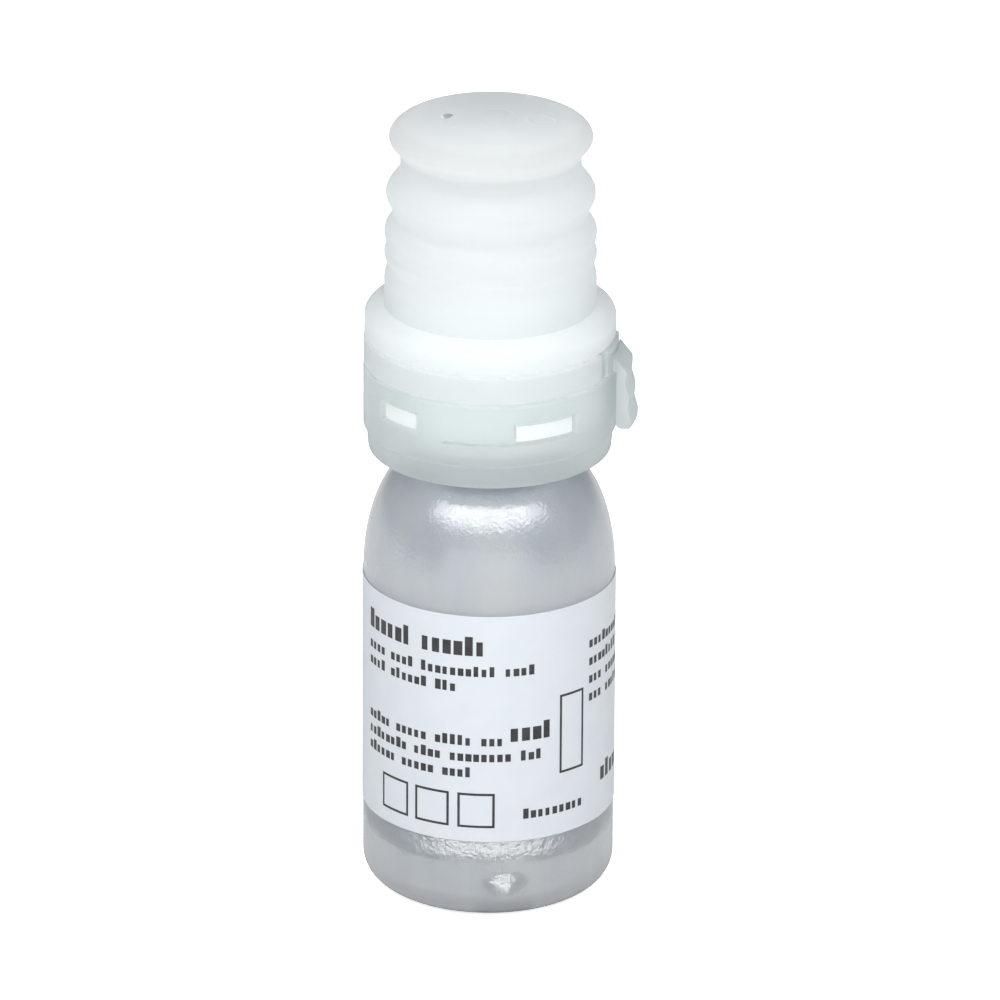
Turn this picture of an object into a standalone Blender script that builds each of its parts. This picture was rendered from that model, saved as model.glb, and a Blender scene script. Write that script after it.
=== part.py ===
"""Squeeze bottle for eye drops, with a spring loaded valve under a pull-off cap.

The bottle stands on z = 0 with its axis on Z. The pull tab of the tear band points along +X.
Every outline is a list of (radius, height) points, turned round Z. Lengths are in metres.
"""

import math

import bmesh
import bpy
from mathutils import Matrix, Vector

MM = 0.001

# How finely round shapes are stepped
LARGE_STEPS = 32
MIDDLE_STEPS = 24
SMALL_STEPS = 18
FILLET_STEPS = 3
WAVE_STEPS = 3
SHOULDER_STEPS = 7
FILLET_ROOM_SHARE = 0.95
SHARED_ROOM_SHARE = 0.5
WELD_DISTANCE = 0.001 * MM
CUT_OVERRUN = 0.6 * MM

# Clearance between a piece and the seat or bore that holds it
SEAT_GAP = 0.3 * MM

# Bottle body
BODY_RADIUS = 12.45 * MM
BODY_WALL = 0.8 * MM
BODY_HEIGHT = 33.0 * MM
BASE_CORNER = 3.8 * MM
STAND_RING_WIDTH = 1.8 * MM
BASE_RECESS = 0.5 * MM
RECESS_FLANK = 0.8 * MM
GATE_PAD_RADIUS = 2.4 * MM
SHOULDER_HEIGHT = 12.0 * MM
# Where the shoulder's curve would be level, inside the neck
SHOULDER_END_RADIUS = 6.5 * MM

# Bottle neck and the bead that the dispenser snaps under
NECK_RADIUS = 7.5 * MM
NECK_WALL = 1.6 * MM
NECK_LENGTH = 9.4 * MM
NECK_FILLET = 0.7 * MM
RIM_FILLET = 0.4 * MM
BEAD_OVERHANG = 0.9 * MM
BEAD_HEIGHT = 1.6 * MM
BEAD_LAND = 0.4 * MM
BEAD_DROP = 4.2 * MM

# Label wrapped round the body, with its two ends just apart at the back
LABEL_LOW_Z = 8.7 * MM
LABEL_HEIGHT = 24.1 * MM
LABEL_THICKNESS = 0.08 * MM
LABEL_GAP = 0.05 * MM
LABEL_SEAM = 0.6 * MM

# Gasket on the bottle's rim
GASKET_THICKNESS = 0.7 * MM

# Dispenser body: deck, outer drum, snap skirt, plug and spigot
DECK_THICKNESS = 1.2 * MM
DRUM_WALL = 0.8 * MM
DRUM_DROP = 5.0 * MM
DRUM_FILLET = 0.4 * MM
DRUM_MOAT = 0.6 * MM
SNAP_WALL = 1.0 * MM
SNAP_HOOK_HEIGHT = 0.7 * MM
SNAP_LEAD = 0.6 * MM
PLUG_WALL = 0.7 * MM
PLUG_DEPTH = 4.0 * MM
PLUG_TAPER = 0.25 * MM
SPIGOT_INSET = 4.0 * MM
SPIGOT_WALL = 0.9 * MM
SPIGOT_HEIGHT = 4.2 * MM
SPIGOT_BEAD = 0.25 * MM
LUG_INSET = 0.4 * MM

# Collar: the ring that stays on the bottle, with a tongue in each window that hangs from its upper
# edge and holds to its sill by a short bridge
COLLAR_WALL = 1.05 * MM
COLLAR_LEDGE = 0.6 * MM
COLLAR_LEDGE_HEIGHT = 0.6 * MM
COLLAR_RIM_DROP = 1.5 * MM
COLLAR_RIM_STEP = 0.3 * MM
COLLAR_FOOT_HEIGHT = 2.2 * MM
COLLAR_FOOT_TAPER = 0.2 * MM
COLLAR_FOOT_WALL = 0.75 * MM
COLLAR_EDGE = 0.2 * MM
COLLAR_HEIGHT = 4.35 * MM
WINDOW_SILL = 0.3 * MM
WINDOW_HEIGHT = 2.2 * MM
WINDOW_STEP = 0.4 * MM
WINDOW_TURN = math.radians(-90)
WINDOW_SWEEP = math.radians(102)
TONGUE_OFFSET = math.radians(-4)
TONGUE_SWEEP = math.radians(46)
TONGUE_BRIDGE_SWEEP = math.radians(12.6)
TONGUE_GAP = 0.3 * MM
WINDOW_COUNT = 2

# Tear band between collar and cap, and the bridges that snap when it is torn off
TEAR_LINE = 0.3 * MM
BAND_HEIGHT = 2.65 * MM
BAND_WALL = 1.0 * MM
BAND_END_TURN = math.radians(-18)
BAND_END_GAP = 0.9 * MM
BAND_END_RADIUS = 1.0 * MM
BRIDGE_COUNT = 8
BRIDGE_SWEEP = math.radians(3)
BRIDGE_START = math.radians(14)
BRIDGE_HEIGHT = 0.18 * MM
BRIDGE_INSET = 0.25 * MM

# Pull tab that hangs from the band by a living hinge, with grooves for the finger
TAB_WIDTH = 5.0 * MM
TAB_DROP = 0.7 * MM
TAB_LENGTH = 7.65 * MM
TAB_ROOT_HEIGHT = 1.7 * MM
TAB_SLOT = 0.6 * MM
TAB_TOP_DEPTH = 1.3 * MM
TAB_TOP_DROP = 1.6 * MM
TAB_FOOT_DEPTH = 1.87 * MM
TAB_FOOT_RADIUS = 0.5 * MM
TAB_FOOT_HEIGHT = 0.6 * MM
TAB_GROOVE_COUNT = 2
TAB_GROOVE_DEPTH = 0.2 * MM
TAB_GROOVE_STEPS = 6

# Cap: skirt, ribbed grip, pinch and crown
SKIRT_WALL = 0.95 * MM
SKIRT_HEIGHT = 1.8 * MM
CAP_SHOULDER_HEIGHT = 1.3 * MM
RIB_RADIUS = 10.4 * MM
GRIP_WALL = 1.4 * MM
GROOVE_DEPTH = 0.8 * MM
PINCH_RADIUS = 8.85 * MM
PINCH_LAND = 1.0 * MM
PINCH_WALL = 0.95 * MM
CROWN_RADIUS = 9.96 * MM
CROWN_HEIGHT = 2.2 * MM
CROWN_DISHING = 0.5 * MM
CROWN_FLAT_RADIUS = 7.0 * MM
CROWN_THICKNESS = 1.2 * MM
CROWN_FILLET = 0.7 * MM
CROWN_STEPS = 4
TIP_ROOM = 2.4 * MM
TIP_SLEEVE_WALL = 0.5 * MM
TIP_SLEEVE_GAP = 0.6 * MM
TIP_SLEEVE_LENGTH = 3.0 * MM
VENT_RADIUS = 0.45 * MM
VENT_OFFSET = 4.4 * MM
VENT_TURN = math.radians(188)
# Height along the grip as a share of it, then how deep the groove is there as a share of the deepest
GRIP_WAVE_SHARES = (
    (0.151, 0.0),
    (0.238, 0.31),
    (0.308, 0.0),
    (0.349, 0.25),
    (0.436, 0.0),
    (0.547, 1.0),
    (0.669, 0.19),
)
PINCH_HEIGHT_SHARE = 0.86

# Nozzle: the white outer housing that ends in the dropper tip
NOZZLE_HEIGHT = 19.7 * MM
NOZZLE_WALL = 0.9 * MM
NOZZLE_CORE_DEPTH = 1.8 * MM
NOZZLE_WAIST_HEIGHT = 1.9 * MM
NOZZLE_ROOM = 0.7 * MM
NOZZLE_FILLET = 0.8 * MM
NOZZLE_LEDGE = 1.1 * MM
NOZZLE_LEDGE_HEIGHT = 1.1 * MM
NECKING_RADIUS = 4.2 * MM
NECKING_FILLET = 2.0 * MM
TIP_RADIUS = 2.6 * MM
TIP_FILLET = 1.3 * MM
# Heights along the cone from the nozzle's waist to its tip
CONE_START_SHARE = 0.2
CONE_END_SHARE = 0.4
CONE_START_RADIUS_SHARE = 0.92
CHAMBER_RADIUS = 3.2 * MM
CHAMBER_HEIGHT = 7.7 * MM
TIP_BORE_RADIUS = 1.6 * MM
TIP_BORE_STOP = 2.2 * MM
ORIFICE_RADIUS = 0.45 * MM
ORIFICE_LENGTH = 0.7 * MM

# Vent filter on the deck and the ring that holds it down
FILTER_THICKNESS = 0.6 * MM
RETAINER_THICKNESS = 0.7 * MM
RETAINER_LIP = 0.35 * MM

# Channel insert that carries the liquid up to the valve
INSERT_FLANGE = 1.0 * MM
INSERT_REACH = 1.5 * MM
INSERT_TUBE_WALL = 0.9 * MM
INSERT_BORE_RADIUS = 1.1 * MM
INSERT_POST_HEIGHT = 0.8 * MM
CHANNEL_COUNT = 2
CHANNEL_HEIGHT = 0.4 * MM
CHANNEL_DEPTH = 0.6 * MM

# Valve pin, seal and spring
SEAL_THICKNESS = 0.9 * MM
PIN_DISC_RADIUS = 2.6 * MM
PIN_DISC_THICKNESS = 0.8 * MM
PIN_RADIUS = 1.2 * MM
PIN_STEM_RADIUS = 0.75 * MM
PIN_STEM_ENGAGEMENT = 1.8 * MM
PIN_TIP_GAP = 0.2 * MM
PIN_NOSE_LENGTH = 0.9 * MM
SPRING_WIRE_RADIUS = 0.2 * MM
SPRING_TURNS = 3.5
SPRING_POINTS_A_TURN = 12

# Radii that follow from the neck outwards
NECK_BORE = NECK_RADIUS - NECK_WALL
BEAD_RADIUS = NECK_RADIUS + BEAD_OVERHANG
SNAP_INNER = BEAD_RADIUS + SEAT_GAP
SNAP_OUTER = SNAP_INNER + SNAP_WALL
DRUM_INNER = SNAP_OUTER + DRUM_MOAT
DRUM_RADIUS = DRUM_INNER + DRUM_WALL
RING_BORE = DRUM_RADIUS + SEAT_GAP
COLLAR_RADIUS = RING_BORE + COLLAR_WALL
BAND_RADIUS = RING_BORE + BAND_WALL
SKIRT_RADIUS = RING_BORE + SKIRT_WALL
SPIGOT_RADIUS = DRUM_RADIUS - SPIGOT_INSET
SPIGOT_BORE = SPIGOT_RADIUS - SPIGOT_WALL
NOZZLE_BORE = SPIGOT_RADIUS + SEAT_GAP
PLUG_RADIUS = NECK_BORE - SEAT_GAP
DECK_BORE = PLUG_RADIUS - PLUG_WALL
INSERT_TUBE_RADIUS = DECK_BORE - SEAT_GAP
INSERT_FLANGE_RADIUS = SPIGOT_BORE - SEAT_GAP
LEDGE_BORE = SPIGOT_BORE - NOZZLE_LEDGE
INSERT_DRUM_RADIUS = LEDGE_BORE - SEAT_GAP
GRIP_BORE = RIB_RADIUS - GRIP_WALL
PINCH_BORE = PINCH_RADIUS - PINCH_WALL
SEAL_RADIUS = CHAMBER_RADIUS - SEAT_GAP
SPRING_RADIUS = PIN_DISC_RADIUS - SPRING_WIRE_RADIUS - SEAT_GAP

# Heights that follow from the bottle upwards
SHOULDER_TOP_Z = BODY_HEIGHT + SHOULDER_HEIGHT
RIM_Z = SHOULDER_TOP_Z + NECK_LENGTH
BEAD_LOW_Z = RIM_Z - BEAD_DROP
GASKET_LOW_Z = RIM_Z + SEAT_GAP
GASKET_HIGH_Z = GASKET_LOW_Z + GASKET_THICKNESS
DECK_LOW_Z = GASKET_HIGH_Z + SEAT_GAP
DECK_HIGH_Z = DECK_LOW_Z + DECK_THICKNESS
DRUM_LOW_Z = DECK_LOW_Z - DRUM_DROP
SPIGOT_HIGH_Z = DECK_HIGH_Z + SPIGOT_HEIGHT
LEDGE_Z = DRUM_LOW_Z - SEAT_GAP
WINDOW_LOW_Z = LEDGE_Z + WINDOW_SILL
COLLAR_HIGH_Z = LEDGE_Z + COLLAR_HEIGHT
COLLAR_RIM_Z = LEDGE_Z - COLLAR_LEDGE_HEIGHT - COLLAR_RIM_DROP
COLLAR_LOW_Z = COLLAR_RIM_Z - COLLAR_FOOT_HEIGHT
BAND_LOW_Z = COLLAR_HIGH_Z + TEAR_LINE
BAND_HIGH_Z = BAND_LOW_Z + BAND_HEIGHT
SKIRT_LOW_Z = BAND_HIGH_Z + TEAR_LINE
SKIRT_HIGH_Z = SKIRT_LOW_Z + SKIRT_HEIGHT
GRIP_LOW_Z = SKIRT_HIGH_Z + CAP_SHOULDER_HEIGHT
NOZZLE_LOW_Z = DECK_HIGH_Z + SEAT_GAP
NOZZLE_HIGH_Z = NOZZLE_LOW_Z + NOZZLE_HEIGHT
CEILING_Z = NOZZLE_HIGH_Z + TIP_ROOM
CAP_HIGH_Z = CEILING_Z + CROWN_THICKNESS
CROWN_LOW_Z = CAP_HIGH_Z - CROWN_HEIGHT
GRIP_HEIGHT = CROWN_LOW_Z - GRIP_LOW_Z
PINCH_Z = GRIP_LOW_Z + GRIP_HEIGHT * PINCH_HEIGHT_SHARE
FILTER_LOW_Z = DECK_HIGH_Z + SEAT_GAP
RETAINER_LOW_Z = FILTER_LOW_Z + FILTER_THICKNESS + SEAT_GAP
FLANGE_LOW_Z = RETAINER_LOW_Z + RETAINER_THICKNESS + SEAT_GAP
FLANGE_HIGH_Z = FLANGE_LOW_Z + INSERT_FLANGE
LEDGE_LOW_Z = SPIGOT_HIGH_Z + SEAT_GAP
CHAMBER_LOW_Z = LEDGE_LOW_Z + NOZZLE_LEDGE_HEIGHT
CHAMBER_HIGH_Z = CHAMBER_LOW_Z + CHAMBER_HEIGHT
INSERT_DRUM_HIGH_Z = CHAMBER_LOW_Z - SEAT_GAP
INSERT_HIGH_Z = CHAMBER_LOW_Z + INSERT_POST_HEIGHT
INSERT_LOW_Z = DECK_LOW_Z - PLUG_DEPTH - INSERT_REACH
SEAL_HIGH_Z = CHAMBER_HIGH_Z - SEAT_GAP
SEAL_LOW_Z = SEAL_HIGH_Z - SEAL_THICKNESS
PIN_DISC_HIGH_Z = SEAL_LOW_Z - SEAT_GAP
PIN_DISC_LOW_Z = PIN_DISC_HIGH_Z - PIN_DISC_THICKNESS
SPRING_LOW_Z = INSERT_HIGH_Z + SEAT_GAP
SPRING_HIGH_Z = PIN_DISC_LOW_Z - SEAT_GAP

# The living hinge of the pull tab
HINGE_RADIUS = BAND_RADIUS + SEAT_GAP
HINGE_Z = BAND_HIGH_Z - TAB_DROP

# Colour, roughness and metallic value of each material
MATERIALS = {
    "bottle_plastic": ((0.62, 0.66, 0.68), 0.35, 0.0),
    "label_film": ((0.84, 0.87, 0.91), 0.4, 0.0),
    "natural_plastic": ((0.8, 0.87, 0.87), 0.4, 0.0),
    "collar_plastic": ((0.66, 0.74, 0.74), 0.4, 0.0),
    "white_plastic": ((0.93, 0.94, 0.94), 0.45, 0.0),
    "seal_rubber": ((0.8, 0.8, 0.78), 0.7, 0.0),
    "filter_felt": ((0.88, 0.88, 0.86), 0.9, 0.0),
    "spring_steel": ((0.6, 0.6, 0.62), 0.25, 1.0),
}


def clear_scene():
    for old in list(bpy.data.objects):
        bpy.data.objects.remove(old)


def new_collection(name, helpers=False):
    collection = bpy.data.collections.new(name)
    collection.hide_render = helpers
    bpy.context.scene.collection.children.link(collection)
    return collection


def new_material(name):
    colour, roughness, metallic = MATERIALS[name]
    material = bpy.data.materials.new(name)
    material.use_nodes = True
    shader = material.node_tree.nodes["Principled BSDF"]
    shader.inputs["Base Color"].default_value = (*colour, 1.0)
    shader.inputs["Roughness"].default_value = roughness
    shader.inputs["Metallic"].default_value = metallic
    material.diffuse_color = (*colour, 1.0)
    return material


def place(name, mesh):
    """Adds a piece to the bottle's collection."""
    piece = bpy.data.objects.new(name, mesh)
    parts.objects.link(piece)
    return piece


def place_helper(name, mesh):
    """Adds a cutter or a blank that only shapes other pieces."""
    helper = bpy.data.objects.new(name, mesh)
    helpers.objects.link(helper)
    helper.hide_render = True
    helper.display_type = "WIRE"
    return helper


def paint(piece, material):
    piece.data.materials.append(materials[material])


def room(corner, neighbour):
    """How far a fillet may reach along a side, which it shares with a fillet at its other end."""
    share = SHARED_ROOM_SHARE if len(neighbour) > 2 else FILLET_ROOM_SHARE
    return (Vector(neighbour[:2]) - Vector(corner[:2])).length * share


def fillet(before, corner, after, radius, steps):
    """Points of an arc that rounds a corner, drawn in where its sides are too short for it."""
    to_before = Vector(before[:2]) - Vector(corner[:2])
    to_after = Vector(after[:2]) - Vector(corner[:2])
    half = to_before.angle(to_after) / 2
    reach = min(radius / math.tan(half), room(corner, before), room(corner, after))
    radius = reach * math.tan(half)
    inward = (to_before.normalized() + to_after.normalized()).normalized()
    centre = Vector(corner[:2]) + inward * (radius / math.sin(half))
    start = Vector(corner[:2]) + to_before.normalized() * reach - centre
    end = Vector(corner[:2]) + to_after.normalized() * reach - centre
    turned_by = start.angle_signed(end)
    points = []
    for step in range(steps + 1):
        arm = Matrix.Rotation(-turned_by * step / steps, 2) @ start
        points.append((centre.x + arm.x, centre.y + arm.y))
    return points


def outline(corners, closed=True, steps=FILLET_STEPS):
    """Points of an outline, from corners that are (radius, height) or (radius, height, fillet)."""
    points = []
    for index, corner in enumerate(corners):
        if len(corner) == 2:
            points.append(corner)
            continue
        after = corners[(index + 1) % len(corners)]
        points += fillet(corners[index - 1], corner, after, corner[2], steps)
    return points if not closed else points + [points[0]]


def quarter(low, high, steps):
    """Points of a quarter ellipse, upright at low and level at high."""
    points = []
    for step in range(steps + 1):
        angle = math.pi / 2 * step / steps
        radius = high[0] + (low[0] - high[0]) * math.cos(angle)
        height = low[1] + (high[1] - low[1]) * math.sin(angle)
        points.append((radius, height))
    return points


def wave(stations, steps):
    """Points that swing through (radius, height) stations in half cosines, upright at each."""
    points = [stations[0]]
    for (radius, height), (next_radius, next_height) in zip(stations, stations[1:]):
        for step in range(1, steps + 1):
            share = step / steps
            swing = math.sin(math.pi / 2 * share) ** 2
            swung = radius + (next_radius - radius) * swing
            points.append((swung, height + (next_height - height) * share))
    return points


def turned_mesh(name, points):
    mesh = bpy.data.meshes.new(name)
    edges = [(index, index + 1) for index in range(len(points) - 1)]
    closed = points[0] == points[-1]
    if closed:
        points = points[:-1]
        edges[-1] = (len(points) - 1, 0)
    mesh.from_pydata([(radius, 0, height) for radius, height in points], edges, [])
    return mesh


def turn(piece, steps):
    """Turns an outline round Z. It runs down its outer side, so that its faces point out."""
    screw = piece.modifiers.new("turn", "SCREW")
    screw.axis = "Z"
    screw.angle = math.tau
    screw.steps = steps
    screw.render_steps = steps
    screw.use_merge_vertices = True
    screw.merge_threshold = WELD_DISTANCE
    screw.use_smooth_shade = True


def turned(name, points, material, steps=LARGE_STEPS):
    piece = place(name, turned_mesh(name, points))
    turn(piece, steps)
    paint(piece, material)
    return piece


def weld(mesh):
    shape = bmesh.new()
    shape.from_mesh(mesh)
    bmesh.ops.remove_doubles(shape, verts=shape.verts, dist=WELD_DISTANCE)
    shape.to_mesh(mesh)
    shape.free()


def prism_mesh(name, contours, height):
    """Flat outlines of (x, y) points, raised from z = 0 and made a mesh that can cut or be cut."""
    curve = bpy.data.curves.new(name, "CURVE")
    curve.dimensions = "2D"
    curve.fill_mode = "BOTH"
    curve.extrude = height / 2
    for contour in contours:
        spline = curve.splines.new("POLY")
        spline.points.add(len(contour) - 1)
        spline.use_cyclic_u = True
        for knot, (x, y) in zip(spline.points, contour):
            knot.co = (x, y, 0.0, 1.0)
    shape = place_helper(name, curve)
    shape.location.z = height / 2
    depsgraph = bpy.context.evaluated_depsgraph_get()
    mesh = bpy.data.meshes.new_from_object(shape.evaluated_get(depsgraph))
    mesh.transform(shape.evaluated_get(depsgraph).matrix_world)
    bpy.data.objects.remove(shape)
    weld(mesh)
    return mesh


def sector(inner, outer, middle, sweep):
    """Contour of a piece of a ring, stepped as finely as the large turned pieces."""
    steps = max(1, math.ceil(sweep / math.tau * LARGE_STEPS))
    angles = [middle - sweep / 2 + sweep * step / steps for step in range(steps + 1)]
    there = [(outer * math.cos(angle), outer * math.sin(angle)) for angle in angles]
    back = [(inner * math.cos(angle), inner * math.sin(angle)) for angle in reversed(angles)]
    return there + back


def slab(start, end, width):
    """Contour of a rectangle along +X, from start to end."""
    return [(start, -width / 2), (end, -width / 2), (end, width / 2), (start, width / 2)]


def combine(piece, helper, operation):
    boolean = piece.modifiers.new(helper.name, "BOOLEAN")
    boolean.operation = operation
    boolean.solver = "EXACT"
    boolean.object = helper


def window_turns():
    return [WINDOW_TURN + math.tau * index / WINDOW_COUNT for index in range(WINDOW_COUNT)]


def side_gaps():
    """The middle, sweep and lower edge of the two gaps beside each window's tongue."""
    gaps = []
    for middle in window_turns():
        start, end = middle - WINDOW_SWEEP / 2, middle + WINDOW_SWEEP / 2
        tongue = middle + TONGUE_OFFSET
        tongue_start, tongue_end = tongue - TONGUE_SWEEP / 2, tongue + TONGUE_SWEEP / 2
        gaps.append(((start + tongue_start) / 2, tongue_start - start, WINDOW_LOW_Z + WINDOW_STEP))
        gaps.append(((tongue_end + end) / 2, end - tongue_end, WINDOW_LOW_Z))
    return gaps


def combine_sectors(piece, name, inner, outer, blocks, height, operation):
    """Cuts or joins pieces of a ring, given as (middle, sweep, lower edge) and all of one height."""
    for index, (middle, sweep, low_z) in enumerate(blocks):
        contour = sector(inner, outer, middle, sweep)
        block = place_helper(f"{name}_{index}", prism_mesh(name, [contour], height))
        block.location.z = low_z
        combine(piece, block, operation)


def make_bottle():
    """Blown bottle: recessed base, straight body, rounded shoulder and a neck with a snap bead."""
    inner_radius = BODY_RADIUS - BODY_WALL
    floor_z = BASE_RECESS + BODY_WALL
    ring_inner = BODY_RADIUS - BASE_CORNER - STAND_RING_WIDTH
    floor = outline(
        [(0, floor_z), (inner_radius, floor_z, BASE_CORNER - BODY_WALL), (inner_radius, BODY_HEIGHT)],
        closed=False,
    )
    inner_shoulder = quarter(
        (inner_radius, BODY_HEIGHT), (NECK_BORE, SHOULDER_TOP_Z - BODY_WALL), SHOULDER_STEPS
    )
    neck = outline(
        [
            (NECK_BORE, RIM_Z),
            (NECK_RADIUS, RIM_Z, RIM_FILLET),
            (NECK_RADIUS, BEAD_LOW_Z + BEAD_HEIGHT),
            (BEAD_RADIUS, BEAD_LOW_Z + BEAD_LAND),
            (BEAD_RADIUS, BEAD_LOW_Z),
            (NECK_RADIUS, BEAD_LOW_Z),
            (NECK_RADIUS, SHOULDER_TOP_Z, NECK_FILLET),
            (NECK_RADIUS + NECK_FILLET + NECK_FILLET, SHOULDER_TOP_Z),
        ],
        closed=False,
    )[:-1]
    shoulder = quarter((BODY_RADIUS, BODY_HEIGHT), (SHOULDER_END_RADIUS, SHOULDER_TOP_Z), SHOULDER_STEPS)
    shoulder = [point for point in reversed(shoulder) if point[0] > neck[-1][0] + NECK_FILLET]
    base = outline(
        [
            (BODY_RADIUS, BODY_HEIGHT),
            (BODY_RADIUS, 0, BASE_CORNER),
            (ring_inner, 0),
            (ring_inner - RECESS_FLANK, BASE_RECESS),
            (GATE_PAD_RADIUS + RECESS_FLANK, BASE_RECESS),
            (GATE_PAD_RADIUS, 0),
            (0, 0),
        ],
        closed=False,
        steps=FILLET_STEPS + 1,
    )[1:]
    turned("bottle", floor + inner_shoulder[1:] + neck + shoulder + base, "bottle_plastic")


def make_label():
    """Film wrapped round the body, open at the back where its ends don't quite meet."""
    inner = BODY_RADIUS + LABEL_GAP
    outer = inner + LABEL_THICKNESS
    high_z = LABEL_LOW_Z + LABEL_HEIGHT
    corners = [(outer, high_z), (outer, LABEL_LOW_Z), (inner, LABEL_LOW_Z), (inner, high_z)]
    label = turned("label", outline(corners), "label_film")
    cut = slab(BODY_RADIUS - CUT_OVERRUN, outer + CUT_OVERRUN, LABEL_SEAM)
    seam = place_helper("label_seam", prism_mesh("label_seam", [cut], LABEL_HEIGHT + CUT_OVERRUN * 2))
    seam.location.z = LABEL_LOW_Z - CUT_OVERRUN
    seam.rotation_euler.z = math.pi / 2
    combine(label, seam, "DIFFERENCE")


def make_washer(name, inner, outer, low, high, material, steps=LARGE_STEPS):
    """A flat ring."""
    corners = [(outer, high), (outer, low), (inner, low), (inner, high)]
    return turned(name, outline(corners), material, steps)


def make_dispenser_body():
    """White moulding that snaps over the neck and carries the filter, insert and nozzle."""
    plug_low_z = DECK_LOW_Z - PLUG_DEPTH
    hook_high_z = BEAD_LOW_Z - SEAT_GAP
    hook_low_z = hook_high_z - SNAP_HOOK_HEIGHT
    hook_radius = NECK_RADIUS + SEAT_GAP
    bead_z = DECK_HIGH_Z + SPIGOT_HEIGHT / 2
    body = turned(
        "dispenser_body",
        outline(
            [
                (SPIGOT_RADIUS, SPIGOT_HIGH_Z),
                (SPIGOT_RADIUS, bead_z + SPIGOT_BEAD),
                (SPIGOT_RADIUS + SPIGOT_BEAD, bead_z),
                (SPIGOT_RADIUS, bead_z - SPIGOT_BEAD),
                (SPIGOT_RADIUS, DECK_HIGH_Z),
                (DRUM_RADIUS, DECK_HIGH_Z, DRUM_FILLET),
                (DRUM_RADIUS, DRUM_LOW_Z),
                (DRUM_INNER, DRUM_LOW_Z),
                (DRUM_INNER, DECK_LOW_Z),
                (SNAP_OUTER, DECK_LOW_Z),
                (SNAP_OUTER, hook_low_z - SNAP_LEAD),
                (SNAP_INNER, hook_low_z - SNAP_LEAD),
                (hook_radius, hook_low_z),
                (hook_radius, hook_high_z),
                (SNAP_INNER, hook_high_z),
                (SNAP_INNER, DECK_LOW_Z),
                (PLUG_RADIUS, DECK_LOW_Z),
                (PLUG_RADIUS, plug_low_z + PLUG_WALL),
                (PLUG_RADIUS - PLUG_TAPER, plug_low_z),
                (DECK_BORE, plug_low_z),
                (DECK_BORE, DECK_HIGH_Z),
                (SPIGOT_BORE, DECK_HIGH_Z),
                (SPIGOT_BORE, SPIGOT_HIGH_Z),
            ]
        ),
        "white_plastic",
    )
    sweep_gap = SEAT_GAP / COLLAR_RADIUS * 2
    lugs = [(middle, sweep - sweep_gap, low_z + SEAT_GAP) for middle, sweep, low_z in side_gaps()]
    inner, outer = DRUM_RADIUS - DRUM_WALL / 2, COLLAR_RADIUS - LUG_INSET
    height = WINDOW_HEIGHT - SEAT_GAP * 2
    combine_sectors(body, "dispenser_lug", inner, outer, lugs, height, "UNION")


def make_collar():
    """Ring that clips under the drum. Each window has a tongue between its two gaps."""
    rim_radius = COLLAR_RADIUS - COLLAR_RIM_STEP
    foot_radius = rim_radius - COLLAR_FOOT_TAPER
    foot_bore = foot_radius - COLLAR_FOOT_WALL
    ledge_low_z = LEDGE_Z - COLLAR_LEDGE_HEIGHT
    collar = turned(
        "collar",
        outline(
            [
                (COLLAR_RADIUS, COLLAR_HIGH_Z),
                (COLLAR_RADIUS, COLLAR_RIM_Z + COLLAR_RIM_STEP),
                (rim_radius, COLLAR_RIM_Z),
                (foot_radius, COLLAR_LOW_Z, COLLAR_EDGE),
                (foot_bore, COLLAR_LOW_Z),
                (foot_bore, ledge_low_z - COLLAR_LEDGE_HEIGHT),
                (RING_BORE - COLLAR_LEDGE, ledge_low_z),
                (RING_BORE - COLLAR_LEDGE, LEDGE_Z),
                (RING_BORE, LEDGE_Z),
                (RING_BORE, COLLAR_HIGH_Z),
            ]
        ),
        "collar_plastic",
    )
    inner, outer = RING_BORE - CUT_OVERRUN, COLLAR_RADIUS + CUT_OVERRUN
    combine_sectors(collar, "collar_gap", inner, outer, side_gaps(), WINDOW_HEIGHT, "DIFFERENCE")
    slits = []
    for middle in window_turns():
        start = middle + TONGUE_OFFSET - TONGUE_SWEEP / 2 + TONGUE_BRIDGE_SWEEP
        end = middle + (WINDOW_SWEEP + TONGUE_SWEEP) / 4
        slits.append(((start + end) / 2, end - start, WINDOW_LOW_Z))
    combine_sectors(collar, "tongue_slit", inner, outer, slits, TONGUE_GAP, "DIFFERENCE")


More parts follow.
